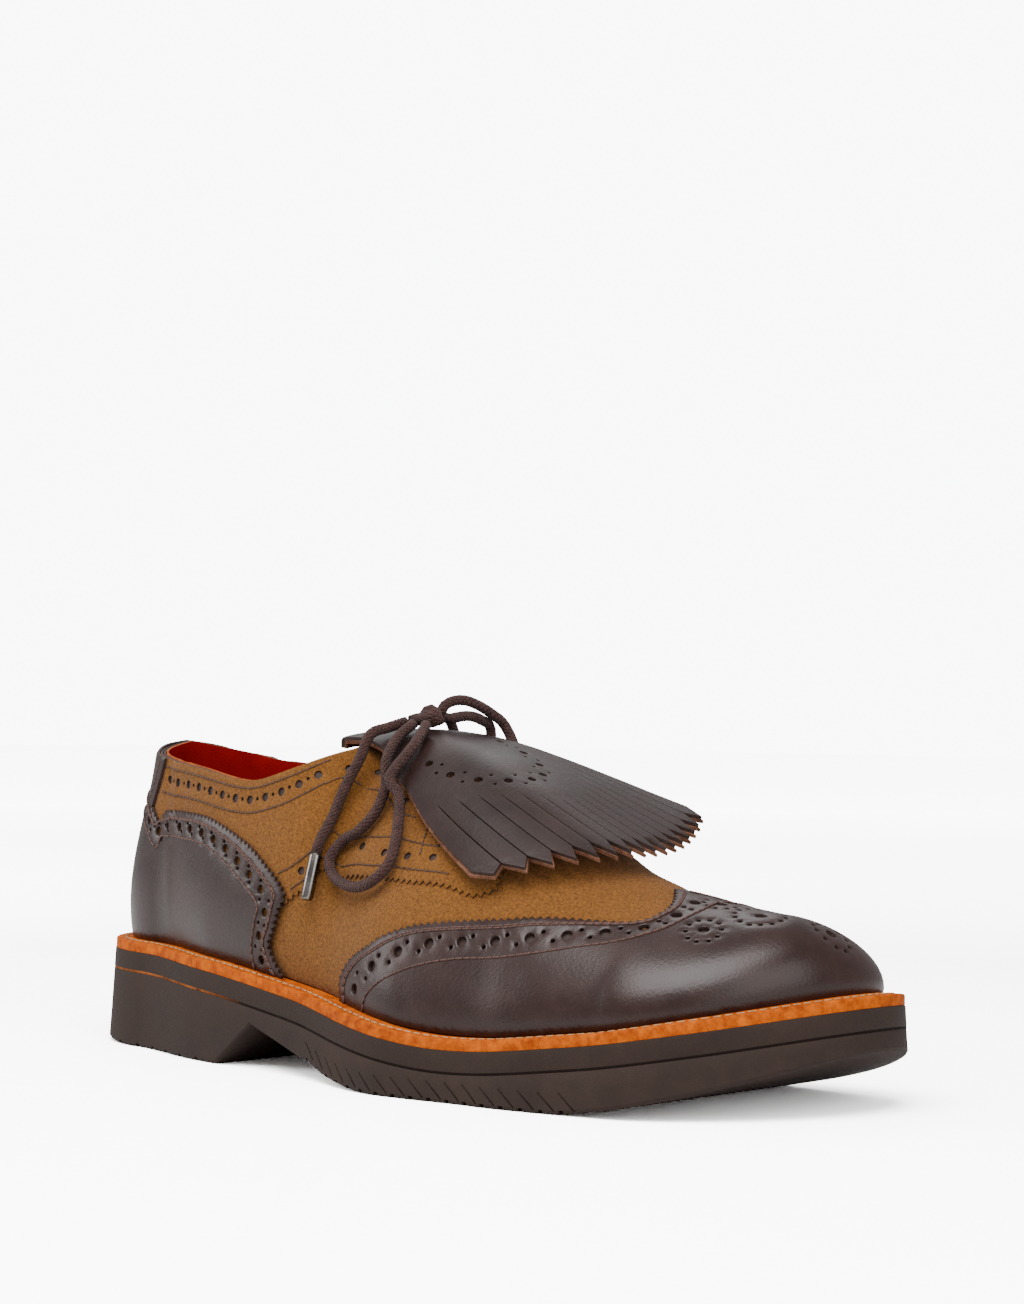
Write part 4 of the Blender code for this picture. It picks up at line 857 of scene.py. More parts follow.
def flower(centre, reach, count):  # a hole and a ring of pinholes round it
    return [(*centre, medallion["hole"] / 2)] + [
        (centre[0] + reach * math.cos(a), centre[1] + reach * math.sin(a), medallion["pin"] / 2)
        for a in np.arange(count) / count * 2 * math.pi]


def flatOf(x, y):  # the flat pattern point above a plan position of the toe cap
    cell = planTree.find_nearest(Vector((x, y, 0)))[2]
    i, j = cell // riseCount, cell % riseCount
    spot = np.array([x, y])
    corners = [(i, j), (i + 1, j), (i + 1, j + 1), (i, j + 1)]
    weights = np.array([1 / (np.linalg.norm(lastSpots[a, b, :2] - spot) + 1e-5) ** 2 for a, b in corners])
    return sum(w * pattern[a, b] for w, (a, b) in zip(weights / weights.sum(), corners))


planTree = BVHTree.FromPolygons(
    [Vector((x, y, 0)) for x, y in lastSpots[:, :, :2].reshape(-1, 2)],
    [(i * columns + j, (i + 1) * columns + j, (i + 1) * columns + j + 1, i * columns + j + 1)
     for i in range(lapCount) for j in range(riseCount)])
for lobe in [medallion["middle"]] + medallion["lobes"]:
    size = medallion["middleRing"] if lobe == medallion["middle"] else medallion["lobeRing"]
    wingHoles += [(*flatOf(x, y), r) for x, y, r in flower(np.array(medallion["centre"]) + lobe, *size)]
hidden = {"overlap": 2.2 * mm, "step": 0.2 * mm}


def inset(edge, side):  # a line a little inside a panel's edge
    along = np.gradient(edge, axis=0)
    along /= np.linalg.norm(along, axis=1, keepdims=True)
    left = np.stack([-along[:, 1], along[:, 0]], axis=1) * side
    step = hidden["step"]
    size = np.linalg.norm(onLast(edge + left * step, 0) - onLast(edge, 0), axis=1, keepdims=True) / step
    return edge + left * hidden["overlap"] / size


wingCover = ringRound([flip(inset(wingEdges[-1], -1)), *wingFoot, inset(wingEdges[1], 1)])
quarterCover = ringRound([inset(quarterEdges[-1], 1), facing(-1), topline(-1), flip(topline(1))[1:],
                          flip(facing(1)), flip(inset(quarterEdges[1], -1)), lowEdge(1, 0.32, 0, 60)[1:],
                          lowEdge(-1, 0, 0.32, 60)[1:-1]])
# the base takes the dark edge colour under the wing and quarters, as painted shade inside their holes
base = panel("base", wholeFoot, [mouth], [], onLast,
             {"top": -1.6 * mm, "bottom": -2.55 * mm, "grain": 2.6 * mm, "paintedShadeUnder": [wingCover, quarterCover]},
             [suede, calfEdge])
standFor("upper")
toeWing = panel("wing", wingLoop, [], wingHoles, onLast, {"top": 0.0, "bottom": -1.3 * mm, "grain": 2.3 * mm},
                [calf, calfEdge])
standFor("toe_wing")
sew("wingStitches", wingSeams, onLast, 0.12 * mm, 2.6 * mm, darkThread, 1.25)
print("wing laid")

# Heel counter and back strip
counterEdges = {side: row(counter["edge"], side) for side in sides}
counterTeeth = {side: sawtooth(counterEdges[side], *counter["teeth"], -side) for side in sides}
counterLoop = ringRound([counterTeeth[-1], lowEdge(-1, counter["edge"][-1][0], 0, 70)[1:],
                         lowEdge(1, 0, counter["edge"][-1][0], 70)[1:-1], flip(counterTeeth[1])])
counterHoles, counterSeams = [], []
for side in sides:
    holes, seams = broguing(counterEdges[side], row(counter["inner"], side), counter)
    counterHoles += holes
    counterSeams += seams
heelCounter = panel("counter", counterLoop, [], counterHoles, onLast,
                    {"top": 0.9 * mm, "bottom": -0.4 * mm, "grain": 2.4 * mm}, [calf, calfEdge])
standFor("heel_counter")
sew("counterStitches", counterSeams, onLast, 1.02 * mm, 2.6 * mm, darkThread, 1.25)

strip = {  # the outer side ends at the back, the inner one runs forward under the topline
    "outer": [(0.078, 0.692), (0.085, 0.77), (0.094, 0.87), (0.105, 0.985)],
    "inner": [(0.078, 0.692), (0.085, 0.77), (0.092, 0.85), (0.104, 0.91), (0.135, 0.94), (0.200, 0.952),
              (0.222, 0.985)],
    "foot": [(-1, 0.078), (-1, 0.05), (-1, 0.02), (1, 0.0), (1, 0.02), (1, 0.05), (1, 0.078)],
    "footRise": 0.682,
    "head": [(1, 0.222), (1, 0.18), (1, 0.14), (1, 0.105), (1, 0.07), (1, 0.03), (1, 0.0), (-1, 0.03),
             (-1, 0.07), (-1, 0.105)],
    "headRise": 0.985, "seam": [(0.062, 0.70), (0.069, 0.77), (0.079, 0.87), (0.088, 0.96)]}
stripFoot, stripHead = (
    smoothCurve([patternPoint(s, strip[end + "Rise"], side) for side, s in strip[end]], 1 * mm)[1:-1]
    for end in ("foot", "head"))
stripLoop = ringRound([row(strip["inner"], 1), stripHead, flip(row(strip["outer"], -1)), stripFoot])
backStrip = panel("backStrip", stripLoop, [], [], onLast,
                  {"top": 0.75 * mm, "bottom": -0.5 * mm, "grain": 2 * mm}, [calf, calfEdge])
standFor("backstay")
sew("stripStitches", [row(strip["seam"], side) for side in sides], onLast, 0.8 * mm, 2.2 * mm, darkThread)
print("heel laid")

# Kiltie: a folded flap of two leathers, its front cut into pointed strips
kilt = {"rows": [  # row, station, height, outer, outer half, outer height, inner, inner half, inner height
    (0, 0.356, 0.977, 0.364, 0.108, 0.968, 0.355, 0.126, 0.980),
    (1, 0.357, 0.998, 0.365, 0.111, 0.990, 0.356, 0.126, 1.002),
    (2, 0.365, 1.013, 0.372, 0.113, 1.003, 0.363, 0.126, 1.018),
    (3, 0.401, 1.026, 0.401, 0.122, 1.002, 0.401, 0.135, 1.026),
    (4, 0.434, 1.030, 0.436, 0.140, 0.980, 0.434, 0.158, 1.026),
    (5, 0.470, 1.023, 0.474, 0.185, 0.893, 0.470, 0.198, 1.015),
    (6, 0.516, 0.995, 0.512, 0.230, 0.846, 0.510, 0.234, 0.991),
    (7, 0.566, 0.946, 0.549, 0.270, 0.773, 0.555, 0.288, 0.948),
    (8, 0.625, 0.878, 0.590, 0.306, 0.708, 0.609, 0.342, 0.892),
    (9, 0.697, 0.783, 0.627, 0.333, 0.656, 0.664, 0.378, 0.838),
    (10, 0.763, 0.698, 0.655, 0.351, 0.619, 0.714, 0.405, 0.792)],
    "droop": (2.2, 2.0), "lean": 0.02, "strips": 16, "slit": 0.2 * mm, "slitRow": 8.5, "slitCurve": 1.75,
    "slitPower": 1.6, "neckRow": 9.62, "rowSize": 9 * mm, "halfSize": 27 * mm, "top": 1.25 * mm,
    "thick": 2.4 * mm, "under": 0.45 * mm}
kiltOf = [smoothTable([r[0] for r in kilt["rows"]], [r[k] for r in kilt["rows"]]) for k in range(1, 9)]


def kiltPoints(rows, across):
    rows, across = np.asarray(rows, float), np.asarray(across, float)
    share, side = np.abs(across), np.where(across < 0, -1, 1)
    droop = share ** np.where(across < 0, *kilt["droop"])
    station, height, *reads = (read(rows) for read in kiltOf)
    edge, half, low = (np.where(across < 0, *pair) for pair in zip(reads[:3], reads[3:]))  # outer, inner
    middle = kilt["lean"] * rows / 10
    return np.stack([(station + (edge - station) * droop - 0.5) * last["length"],
                     (middle + (side * half - middle) * share) * last["ball"],
                     (height + (low - height) * droop) * last["instep"]], axis=-1)


def kiltNormals(rows, across):
    along = kiltPoints(np.minimum(rows + 0.05, 10), across) - kiltPoints(np.maximum(rows - 0.05, 0), across)
    beside = kiltPoints(rows, np.minimum(across + 0.02, 1)) - kiltPoints(rows, np.maximum(across - 0.02, -1))
    normal = np.cross(along, beside)
    return normal / np.linalg.norm(normal, axis=-1, keepdims=True)


def onKilt(flat, lift):
    flat = np.asarray(flat, float).reshape(-1, 2)
    rows, across = flat[:, 0] / kilt["rowSize"], flat[:, 1] / kilt["halfSize"]
    inRows, inAcross = np.clip(rows, 0, 10), np.clip(across, -1, 1)
    spots = kiltPoints(inRows, inAcross)
    normals = kiltNormals(inRows, inAcross)
    beyondRow = kiltPoints(inRows, inAcross) - kiltPoints(np.clip(inRows - 0.1, 0, 10), inAcross)
    beyondRow = np.where((inRows < 0.1)[:, None], kiltPoints(inRows + 0.1, inAcross) - spots, beyondRow) / 0.1
    inside = np.where(inAcross < 0, inAcross + 0.04, inAcross - 0.04)
    beyondAcross = (spots - kiltPoints(inRows, inside)) / (inAcross - inside)[:, None]
    spots = spots + beyondRow * (rows - inRows)[:, None] + beyondAcross * (across - inAcross)[:, None]
    return spots + normals * np.asarray(lift, float).reshape(-1, 1)


def kiltFlat(rows, across):
    return np.array([rows * kilt["rowSize"], across * kilt["halfSize"]])


def fringeLoop(reach):  # outline of the flap; reach lets the lower leather stand a little proud
    grow = reach / kilt["halfSize"]
    strips = kilt["strips"]
    starts = [kilt["slitRow"] - kilt["slitCurve"] * abs(k / strips * 2 - 1) ** kilt["slitPower"]
              for k in range(strips + 1)]
    points = [kiltFlat(r, -1 - grow) for r in np.linspace(-reach / kilt["rowSize"], starts[0], 40)]
    borders = np.linspace(-1, 1, strips + 1)
    half = (kilt["slit"] / 2 - reach * 0.25) / kilt["halfSize"]
    for k in range(strips):
        left = borders[k] - grow if k == 0 else borders[k] + half
        right = borders[k + 1] + grow if k == strips - 1 else borders[k + 1] - half
        tip = (left + right) / 2
        for r in np.linspace(starts[k], kilt["neckRow"], 12)[0 if k == 0 else 1:]:
            points.append(kiltFlat(r, left))
        points.append(kiltFlat(10 + reach / kilt["rowSize"], tip))
        for r in np.linspace(kilt["neckRow"], starts[k + 1], 12)[:-1 if k < strips - 1 else None]:
            points.append(kiltFlat(r, right))
        if k < strips - 1:
            points.append(kiltFlat(starts[k + 1] - 0.03, borders[k + 1]))
    points += [kiltFlat(r, 1 + grow) for r in np.linspace(starts[-1], -reach / kilt["rowSize"], 40)[1:]]
    points += [kiltFlat(-reach / kilt["rowSize"], a) for a in np.linspace(1, -1, 30)]
    return ringRound([points])


kiltHoles = {"row": 5.5, "deep": 2.35, "lean": 0.15, "middle": -0.02, "wide": 0.67, "turn": (-86, 70),
             "count": 9, "hole": 2.9 * mm, "pin": 1.24 * mm, "pair": 1.35 * mm}


def kiltHole(angle):  # a place on the open ring of holes
    return kiltFlat(kiltHoles["row"] + kiltHoles["deep"] * math.cos(angle + kiltHoles["lean"]),
                    kiltHoles["middle"] + kiltHoles["wide"] * math.sin(angle))


kiltRing = [kiltHole(angle) for angle in np.radians(np.linspace(*kiltHoles["turn"], kiltHoles["count"]))]
kiltCuts = [(*spot, kiltHoles["hole"] / 2) for spot in kiltRing]
for before, here in zip(kiltRing, kiltRing[1:]):
    across = np.array([here[1] - before[1], before[0] - here[0]]) / np.linalg.norm(here - before)
    middle = (here + before) / 2
    kiltCuts += [(*(middle + across * push * kiltHoles["pair"]), kiltHoles["pin"] / 2) for push in (-1, 1)]
flapTop = panel("kiltieTop", fringeLoop(0.0), [], kiltCuts, onKilt,
                {"top": 0.0, "bottom": -kilt["top"], "grain": 2.0 * mm, "round": 0.07 * mm},
                [shadedFlapCalf, calfEdge])
flapUnder = panel("kiltieUnder", fringeLoop(kilt["under"]), [], kiltCuts, onKilt,
                  {"top": -kilt["top"], "bottom": -kilt["thick"], "grain": 2.6 * mm, "round": 0.05 * mm},
                  [rawBrown, rawBrown])
standFor("kiltie")
print("kiltie laid")

# Sole
sole = {"welt": 3.4 * mm, "mid": 6.2 * mm, "gap": 0.3 * mm, "flare": 0.055, "chamfer": 1.2 * mm,
        "breast": 0.291, "run": 0.018, "spring": 0.018, "arch": 0.014, "stations": 170, "bevel": 0.5 * mm}
tread = [  # station, share of the toe spring, share of the arch
    (0.000, 0.09, 0.0), (0.060, 0.02, 0.0), (0.110, 0.00, 0.0), (0.434, 0.00, 0.47), (0.493, 0.00, 0.18),
    (0.543, 0.00, 0.04), (0.580, 0.00, 0.0), (0.780, 0.00, 0.0), (0.840, 0.12, 0.0), (0.900, 0.36, 0.0),
    (0.950, 0.64, 0.0), (1.000, 1.00, 0.0)]
springOf, archOf = (smoothTable([r[0] for r in tread], [r[k] for r in tread]) for k in (1, 2))


def treadHeight(x):
    station = x / last["length"] + 0.5
    breastTop = sole["breast"] + sole["run"] / last["length"]
    if station <= sole["breast"]:
        return float(springOf(station)) * sole["spring"]
    if station <= breastTop:
        return sole["arch"] * (station - sole["breast"]) / (breastTop - sole["breast"])
    if station <= tread[3][0]:
        return sole["arch"] * (1 + (tread[3][2] - 1) * (station - breastTop) / (tread[3][0] - breastTop))
    return float(archOf(station)) * sole["arch"] + float(springOf(station)) * sole["spring"]


def midTop(x):
    return float(weltTop(x)) - sole["welt"] - sole["gap"]


def outTop(x):
    return midTop(x) - sole["mid"] - sole["gap"]


def flareOut(x, height):  # how far the sole's side stands out at a height
    return sole["flare"] * (float(weltTop(x)) - height)


def layer(name, rings, material, angle=30):  # a closed layer of the sole from rings of (reach, height)
    turns = list(np.linspace(0, 1, sole["stations"]))
    for stop in (sole["breast"], sole["breast"] + sole["run"] / last["length"], tread[2][0], tread[3][0]):
        target = turnOf(stop)
        turns[int(np.argmin(np.abs(np.array(turns) - target)))] = target
    laps = turns + [2 - t for t in reversed(turns[1:-1])]
    points = []
    for lap in laps:
        edge, outward = outlinePoint(lap), outlineNormal(lap)
        for reach, height in rings(edge[0]):
            spot = edge + outward * reach
            points.append((*spot, height))
    high, count = len(rings(0.0)), len(laps)
    faces = [(i * high + j, ((i + 1) % count) * high + j, ((i + 1) % count) * high + j + 1, i * high + j + 1)
             for i in range(count) for j in range(high - 1)]
    for j in (0, high - 1):
        for k in range(len(turns) - 1):
            a, b = k, k + 1
            c, d = (count - b) % count, (count - a) % count
            corners = [a, b, c, d]
            kept = [corners[n] for n in range(4) if corners[n] != corners[n - 1]]
            if len(kept) > 2:
                faces.append([n * high + j for n in kept])
    return finishMesh(name, points, faces, [material], angle=angle)


def outRings(x):
    low, top = treadHeight(x), outTop(x)
    upper, middle, lower = (flareOut(x, height) for height in (top, (low + top) / 2, low))
    r, c = sole["bevel"], sole["chamfer"]
    return [(upper - 2 * r, top), (upper - r * 0.4, top - r * 0.3), (upper, top - r), (middle, (low + top) / 2),
            (lower, low + c), (lower - c * 0.35, low + c * 0.35), (lower - c, low)]


def midRings(x):  # carries the welt without a gap
    top = midTop(x)
    low = top - sole["mid"]
    upper, lower, r = flareOut(x, top), flareOut(x, low), sole["bevel"]
    return [(upper - 1.0 * mm, top + 0.27 * mm), (upper - 0.1 * mm, top + 0.22 * mm), (upper, top + 0.1 * mm),
            (lower, low + r), (lower - r * 0.3, low + r * 0.3), (lower - 2 * r, low)]


outsole = layer("outsoleRubber", outRings, rubber)
treadForm = {"heel": (0.015, 0.255, 8), "ball": (0.455, 0.80, 17), "slit": (0.54 * mm, 1.1 * mm, 7.5 * mm),
             "lean": 0.85, "notch": (1.5 * mm, 3.2 * mm, 1.5 * mm), "notchIn": 0.4 * mm, "notchUp": 0.5 * mm,
             "slitOut": 0.05 * mm, "slitUp": 3.6 * mm, "slitOn": 1.8 * mm}


def treadCutters():  # notches under the heel edge, a notch and a slanting slit each along the forefoot
    cutter = bmesh.new()
    for zone in ("heel", "ball"):
        for side, station in ((side, station) for side in sides for station in np.linspace(*treadForm[zone])):
            turn = turnOf(station)
            lap = turn if side < 0 else (2 - turn) % 2
            edge, outward = outlinePoint(lap), outlineNormal(lap)
            low = treadHeight(edge[0])
            wall = edge + outward * flareOut(edge[0], low)
            ahead = Vector((outward[1], -outward[0], 0))
            face = Matrix((ahead, Vector((*outward, 0)), Vector((0, 0, 1)))).transposed().to_4x4()
            place = Matrix.Translation((*(wall - outward * treadForm["notchIn"]), low + treadForm["notchUp"]))
            size = Matrix.Diagonal((*treadForm["notch"], 1))
            bmesh.ops.create_cube(cutter, size=1, matrix=place @ face @ size)
            if zone == "ball":
                way = 1 if ahead.x > 0 else -1
                middle = Vector((*(wall + outward * treadForm["slitOut"]), low + treadForm["slitUp"]))
                place = Matrix.Translation(middle + ahead * way * treadForm["slitOn"])
                lean = Matrix.Rotation(-way * treadForm["lean"], 4, "Y")
                size = Matrix.Diagonal((*treadForm["slit"], 1))
                bmesh.ops.create_cube(cutter, size=1, matrix=place @ face @ lean @ size)
    mesh = bpy.data.meshes.new("treadCutters")
    cutter.to_mesh(mesh)
    cutter.free()
    tool = bpy.data.objects.new("treadCutters", mesh)
    bpy.context.scene.collection.objects.link(tool)
    return tool


treadTool = treadCutters()
bpy.ops.object.select_all(action="DESELECT")
bpy.context.view_layer.objects.active = outsole
outsole.select_set(True)
cut = outsole.modifiers.new("tread", "BOOLEAN")
cut.operation, cut.solver, cut.object = "DIFFERENCE", "EXACT", treadTool
cut.use_self = True
bpy.ops.object.modifier_apply(modifier=cut.name)
bpy.data.objects.remove(treadTool)
standFor("outsole")
midsole = layer("midsoleRubber", midRings, rubber)
standFor("midsole")


sockForm = {"in": 4.2 * mm, "thick": 3.0 * mm, "edge": 0.6 * mm}


def innerRings(x):
    top = float(weltTop(x)) + last["gap"]
    reach = -(last["margin"] + sockForm["in"])
    edge = sockForm["edge"]
    return [(reach - edge, top + sockForm["thick"]), (reach, top + sockForm["thick"] - edge), (reach, top)]


sock = layer("insoleSock", innerRings, lining)
standFor("insole")


def glueRings(x):  # the dried glue squeezed out between midsole and outsole
    top, low = midTop(x) - sole["mid"] + 0.25 * mm, outTop(x) - 0.05 * mm
    out = flareOut(x, top)
    return [(out - 2.4 * mm, top), (out - 0.1 * mm, top + 0.2 * mm), (out + 0.02 * mm, (top + low) / 2),
            (out - 0.15 * mm, low - 0.1 * mm), (out - 2.4 * mm, low)]


weltForm = {"width": 15 * mm, "rim": 0.6 * mm, "seamIn": 3.3 * mm, "groove": 0.9 * mm, "pitch": 3.4 * mm,
            "rounds": 460}


def bandRound(name, profile, material):  # a closed band right round the shoe
    rounds, points, count = weltForm["rounds"], [], len(profile(0.0))
    for lap in np.linspace(0, 2, rounds, endpoint=False):
        edge, outward = outlinePoint(lap), outlineNormal(lap)
        for reach, height in profile(edge[0]):
            points.append((*(edge + outward * reach), height))
    faces = []
    for i, j in ((i, j) for i in range(rounds) for j in range(count)):
        here, following, beside = i * count, (i + 1) % rounds * count, (j + 1) % count
        faces.append((here + j, following + j, following + beside, here + beside))
    return finishMesh(name, points, faces, [material], angle=35)


def weltProfile(x):
    top = float(weltTop(x))
    r, seam, groove, width = (weltForm[k] for k in ("rim", "seamIn", "groove", "width"))
    low = top - sole["welt"]
    return [(0, low + 0.02 * mm), (0, top - r), (-r * 0.35, top - r * 0.3), (-r, top), (-seam + groove, top),
            (-seam, top - 0.35 * mm), (-seam - groove, top), (-last["margin"] - 0.5 * mm, top - 0.05 * mm),
            (-width, top - 0.1 * mm), (-width, low), (-0.3 * mm, low - 0.01 * mm)]


weltPiece = bandRound("weltStrip", weltProfile, weltSkin)
standFor("welt")
glueLine = bandRound("glueLine", glueRings, glue)


def onWelt(flat, lift):  # flat is (distance round as a lap, reach from the edge)
    spots = []
    for lap, reach in np.asarray(flat, float).reshape(-1, 2):
        edge = outlinePoint(lap)
        spots.append((*(edge + outlineNormal(lap) * reach), float(weltTop(edge[0])) + lift))
    return np.array(spots)


weltSeam = np.array([(lap, -weltForm["seamIn"]) for lap in np.linspace(0.0, 2.0, 700)])
sew("weltStitches", [weltSeam], onWelt, -0.05 * mm, weltForm["pitch"], paleThread, 1.25)
print("sole laid")

# Laces
lace = {"diameter": 3.5 * mm, "spacing": 0.55, "round": 14, "tip": 15 * mm, "tipDiameter": 4.0 * mm,
        "tipRound": 20, "tipProfile": [(0, 0.82), (0.04, 1.0), (0.93, 1.0), (1.0, 0.8)], "gap": 0.3 * mm}
# The solids' routes: "k" a row and share across the flap, "u" a station and rise of the last, then the lift
nearEnd = [("k", 4.34, 0.38, 1.00), ("k", 4.00, 0.70, 0.85), ("k", 3.80, 1.08, 1.15),
           ("u", 0.434, 0.810, 1.75), ("u", 0.431, 0.690, 0.80), ("u", 0.428, 0.590, 0.60),
           ("u", 0.421, 0.510, 0.60), ("u", 0.420, 0.470, 0.60)]
nearLoop = [("k", 4.66, 0.36, 1.00), ("k", 4.60, 0.72, 0.80), ("k", 4.75, 1.00, 0.90),
            ("u", 0.488, 0.690, 1.10), ("u", 0.485, 0.600, 0.65), ("u", 0.470, 0.525, 0.60),
            ("u", 0.446, 0.485, 0.60), ("u", 0.436, 0.440, 0.60), ("u", 0.442, 0.390, 0.60),
            ("u", 0.462, 0.362, 0.60), ("u", 0.494, 0.365, 0.60), ("u", 0.520, 0.405, 0.60),
            ("u", 0.534, 0.465, 0.60), ("u", 0.532, 0.525, 0.60), ("u", 0.525, 0.590, 0.75),
            ("u", 0.516, 0.665, 1.40), ("k", 5.40, 1.03, 1.10), ("k", 5.40, 0.66, 0.80),
            ("k", 5.10, 0.30, 1.00)]
farLoop = [("k", 4.42, 0.34, 1.40), ("k", 4.42, 0.52, 2.50), ("k", 4.62, 0.80, 2.90), ("k", 4.98, 1.12, 2.00),
           ("k", 5.28, 1.34, 0.40), ("u", 0.535, 0.640, 2.00), ("u", 0.548, 0.570, 0.75),
           ("u", 0.553, 0.520, 0.60), ("u", 0.545, 0.430, 0.60), ("u", 0.515, 0.370, 0.60),
           ("u", 0.475, 0.350, 0.60), ("u", 0.448, 0.385, 0.60), ("u", 0.440, 0.450, 0.60),
           ("u", 0.452, 0.520, 0.60), ("u", 0.474, 0.600, 0.80), ("u", 0.484, 0.680, 2.10),
           ("k", 4.80, 1.32, 0.30), ("k", 4.78, 1.08, 1.25), ("k", 4.78, 0.74, 1.50), ("k", 4.76, 0.34, 1.10)]
farEnd = [("k", 4.12, 0.32, 1.00), ("k", 3.84, 0.72, 0.90), ("k", 3.70, 1.10, 1.20), ("k", 3.65, 1.36, 0.30),
          ("u", 0.430, 0.740, 2.00), ("u", 0.427, 0.660, 0.90), ("u", 0.424, 0.590, 0.60),
          ("u", 0.421, 0.520, 0.60), ("u", 0.420, 0.470, 0.60)]


def routePoints(route, side):
    points = []
    for ground, along, across, lift in route:
        if ground == "k":
            share = min(across, 1.0)
            rows, edge = np.array([float(along)]), np.array([side * share])
            point = kiltPoints(rows, edge)[0]
            beside = point - kiltPoints(rows, np.array([side * (share - 0.05)]))[0]
            raised = kiltNormals(rows, edge)[0] * lift * lace["diameter"]
            points.append(point + beside / 0.05 * (across - share) + raised)
        else:
            points.append(onLast([patternPoint(along, across, side)], lift * lace["diameter"])[0])
    return smoothCurve(points, lace["spacing"] * lace["diameter"])


def ringFaces(rings, turns):  # the faces between rings of as many points each
    return [(i * turns + j, i * turns + (j + 1) % turns, (i + 1) * turns + (j + 1) % turns, (i + 1) * turns + j)
            for i in range(rings - 1) for j in range(turns)]


def tube(name, path, diameter, material, turns=lace["round"]):  # round mesh tube with its own UV, closed ends
    path = np.asarray(path)
    along = np.gradient(path, axis=0)
    along /= np.linalg.norm(along, axis=1, keepdims=True)
    side = np.cross(along[0], [0, 0, 1])
    points = []
    for k, spot in enumerate(path):
        side = side - along[k] * (side @ along[k])
        side /= np.linalg.norm(side)
        up = np.cross(along[k], side)
        for a in np.arange(turns) / turns * 2 * math.pi:
            points.append(spot + (side * math.cos(a) + up * math.sin(a)) * diameter / 2)
    rings = len(path)
    points += [path[0] - along[0] * diameter * 0.2, path[-1] + along[-1] * diameter * 0.2]
    faces = ringFaces(rings, turns)
    faces += [(rings * turns, (j + 1) % turns, j) for j in range(turns)]
    end = (rings - 1) * turns
    faces += [(rings * turns + 1, end + j, end + (j + 1) % turns) for j in range(turns)]
    piece = finishMesh(name, points, faces, [material], angle=70)
    layerUV = piece.data.uv_layers.new(name="along")
    reach = reachAlong(path) / (math.pi * diameter)
    for polygon in piece.data.polygons:
        corners = [piece.data.loops[n].vertex_index for n in polygon.loop_indices]
        columnsOf = [v % turns for v in corners]
        wrap = max(columnsOf) - min(columnsOf) > turns / 2
        for n, v in zip(polygon.loop_indices, corners):
            ringOf = min(v // turns, rings - 1)
            column = v % turns
            layerUV.data[n].uv = (reach[ringOf], (column + (turns if wrap and column == 0 else 0)) / turns)
    return piece


cords = {}
for name, node, route, side in (
        ("laceNearEnd", "lace_end_outer", nearEnd, -1), ("laceNearLoop", "lace_loop_outer", nearLoop, -1),
        ("laceFarLoop", "lace_loop_inner", farLoop, 1), ("laceFarEnd", "lace_end_inner", farEnd, 1)):
    path = routePoints(route, side)
    cords[name] = (tube(name, path, lace["diameter"], laceWeave), path)
    standFor(node)


def tip(name, path, node):  # a metal tube pressed on the lace's end
    along = (path[-1] - path[-2]) / np.linalg.norm(path[-1] - path[-2])
    start = path[-1] + along * lace["gap"]
    turned = np.array(Vector(along).to_track_quat("Z", "Y").to_matrix())
    profile, points, count = lace["tipProfile"], [], lace["tipRound"]
    for share, size in profile:
        for a in np.arange(count) / count * 2 * math.pi:
            r = lace["tipDiameter"] / 2 * size
            points.append(start + turned @ np.array([r * math.cos(a), r * math.sin(a), share * lace["tip"]]))
    faces = ringFaces(len(profile), count)
    faces += [list(range(count))[::-1], [k + (len(profile) - 1) * count for k in range(count)]]
    piece = finishMesh(name, points, faces, [steel], angle=30)
    standFor(node)
    return piece


tipNear = tip("tipNear", cords["laceNearEnd"][1], "aglet_outer")
tipFar = tip("tipFar", cords["laceFarEnd"][1], "aglet_inner")

knotForm = {"row": 4.62, "lift": 1.08, "core": (2.6, 2.2, 1.75), "lead": 1.2 * mm, "rise": 0.5 * mm,
            "wind": [(-0.95, -0.15, -0.55), (-0.85, -0.12, 0.15), (-0.4, -0.06, 0.72), (0.1, 0.0, 0.85),
                     (0.6, 0.06, 0.60), (0.98, 0.1, 0.0), (1.05, 0.12, -0.5)]}
knotRow, knotMiddle = np.array([knotForm["row"]]), np.array([0.0])
knotSpot = (kiltPoints(knotRow, knotMiddle)
            + kiltNormals(knotRow, knotMiddle) * knotForm["lift"] * lace["diameter"])[0]
bpy.ops.object.select_all(action="DESELECT")
bpy.ops.mesh.primitive_uv_sphere_add(segments=32, ring_count=20, radius=0.5 * lace["diameter"],
                                     location=tuple(knotSpot))
knotCore = bpy.context.active_object
knotCore.name = "laceKnot"
knotCore.scale = knotForm["core"]
bpy.ops.object.transform_apply(location=True, rotation=True, scale=True)
bpy.ops.object.shade_smooth()
knotCore.data.materials.append(laceWeave)
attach(knotCore, "root")
standFor("lace_knot")
over = tube("knotOver", [knotSpot + np.array(spot) * lace["diameter"] for spot in knotForm["wind"]],
            lace["diameter"] * 0.95, laceWeave)
for name, (piece, path) in cords.items():  # each strand runs on into the knot
    lead = path[0] - (path[1] - path[0]) / np.linalg.norm(path[1] - path[0]) * knotForm["lead"]
    middle = (knotSpot * 0.45 + lead * 0.55) + [0, 0, knotForm["rise"]]
    strand = smoothCurve([knotSpot, middle, lead], knotForm["lead"])
    tube("knot" + name[4:], strand, lace["diameter"] * 0.97, laceWeave)
for name, far, fittings in (("laceNearEnd", "fitting", [tipNear]), ("laceFarEnd", "fitting", [tipFar]),
                            ("laceNearLoop", "object", []), ("laceFarLoop", "object", [])):
    piece, path = cords[name]
print("laces laid")


dressing = {"merge": 0.001 * mm, "soft": 0.45 * mm, "rim": 40, "sharp": 50}


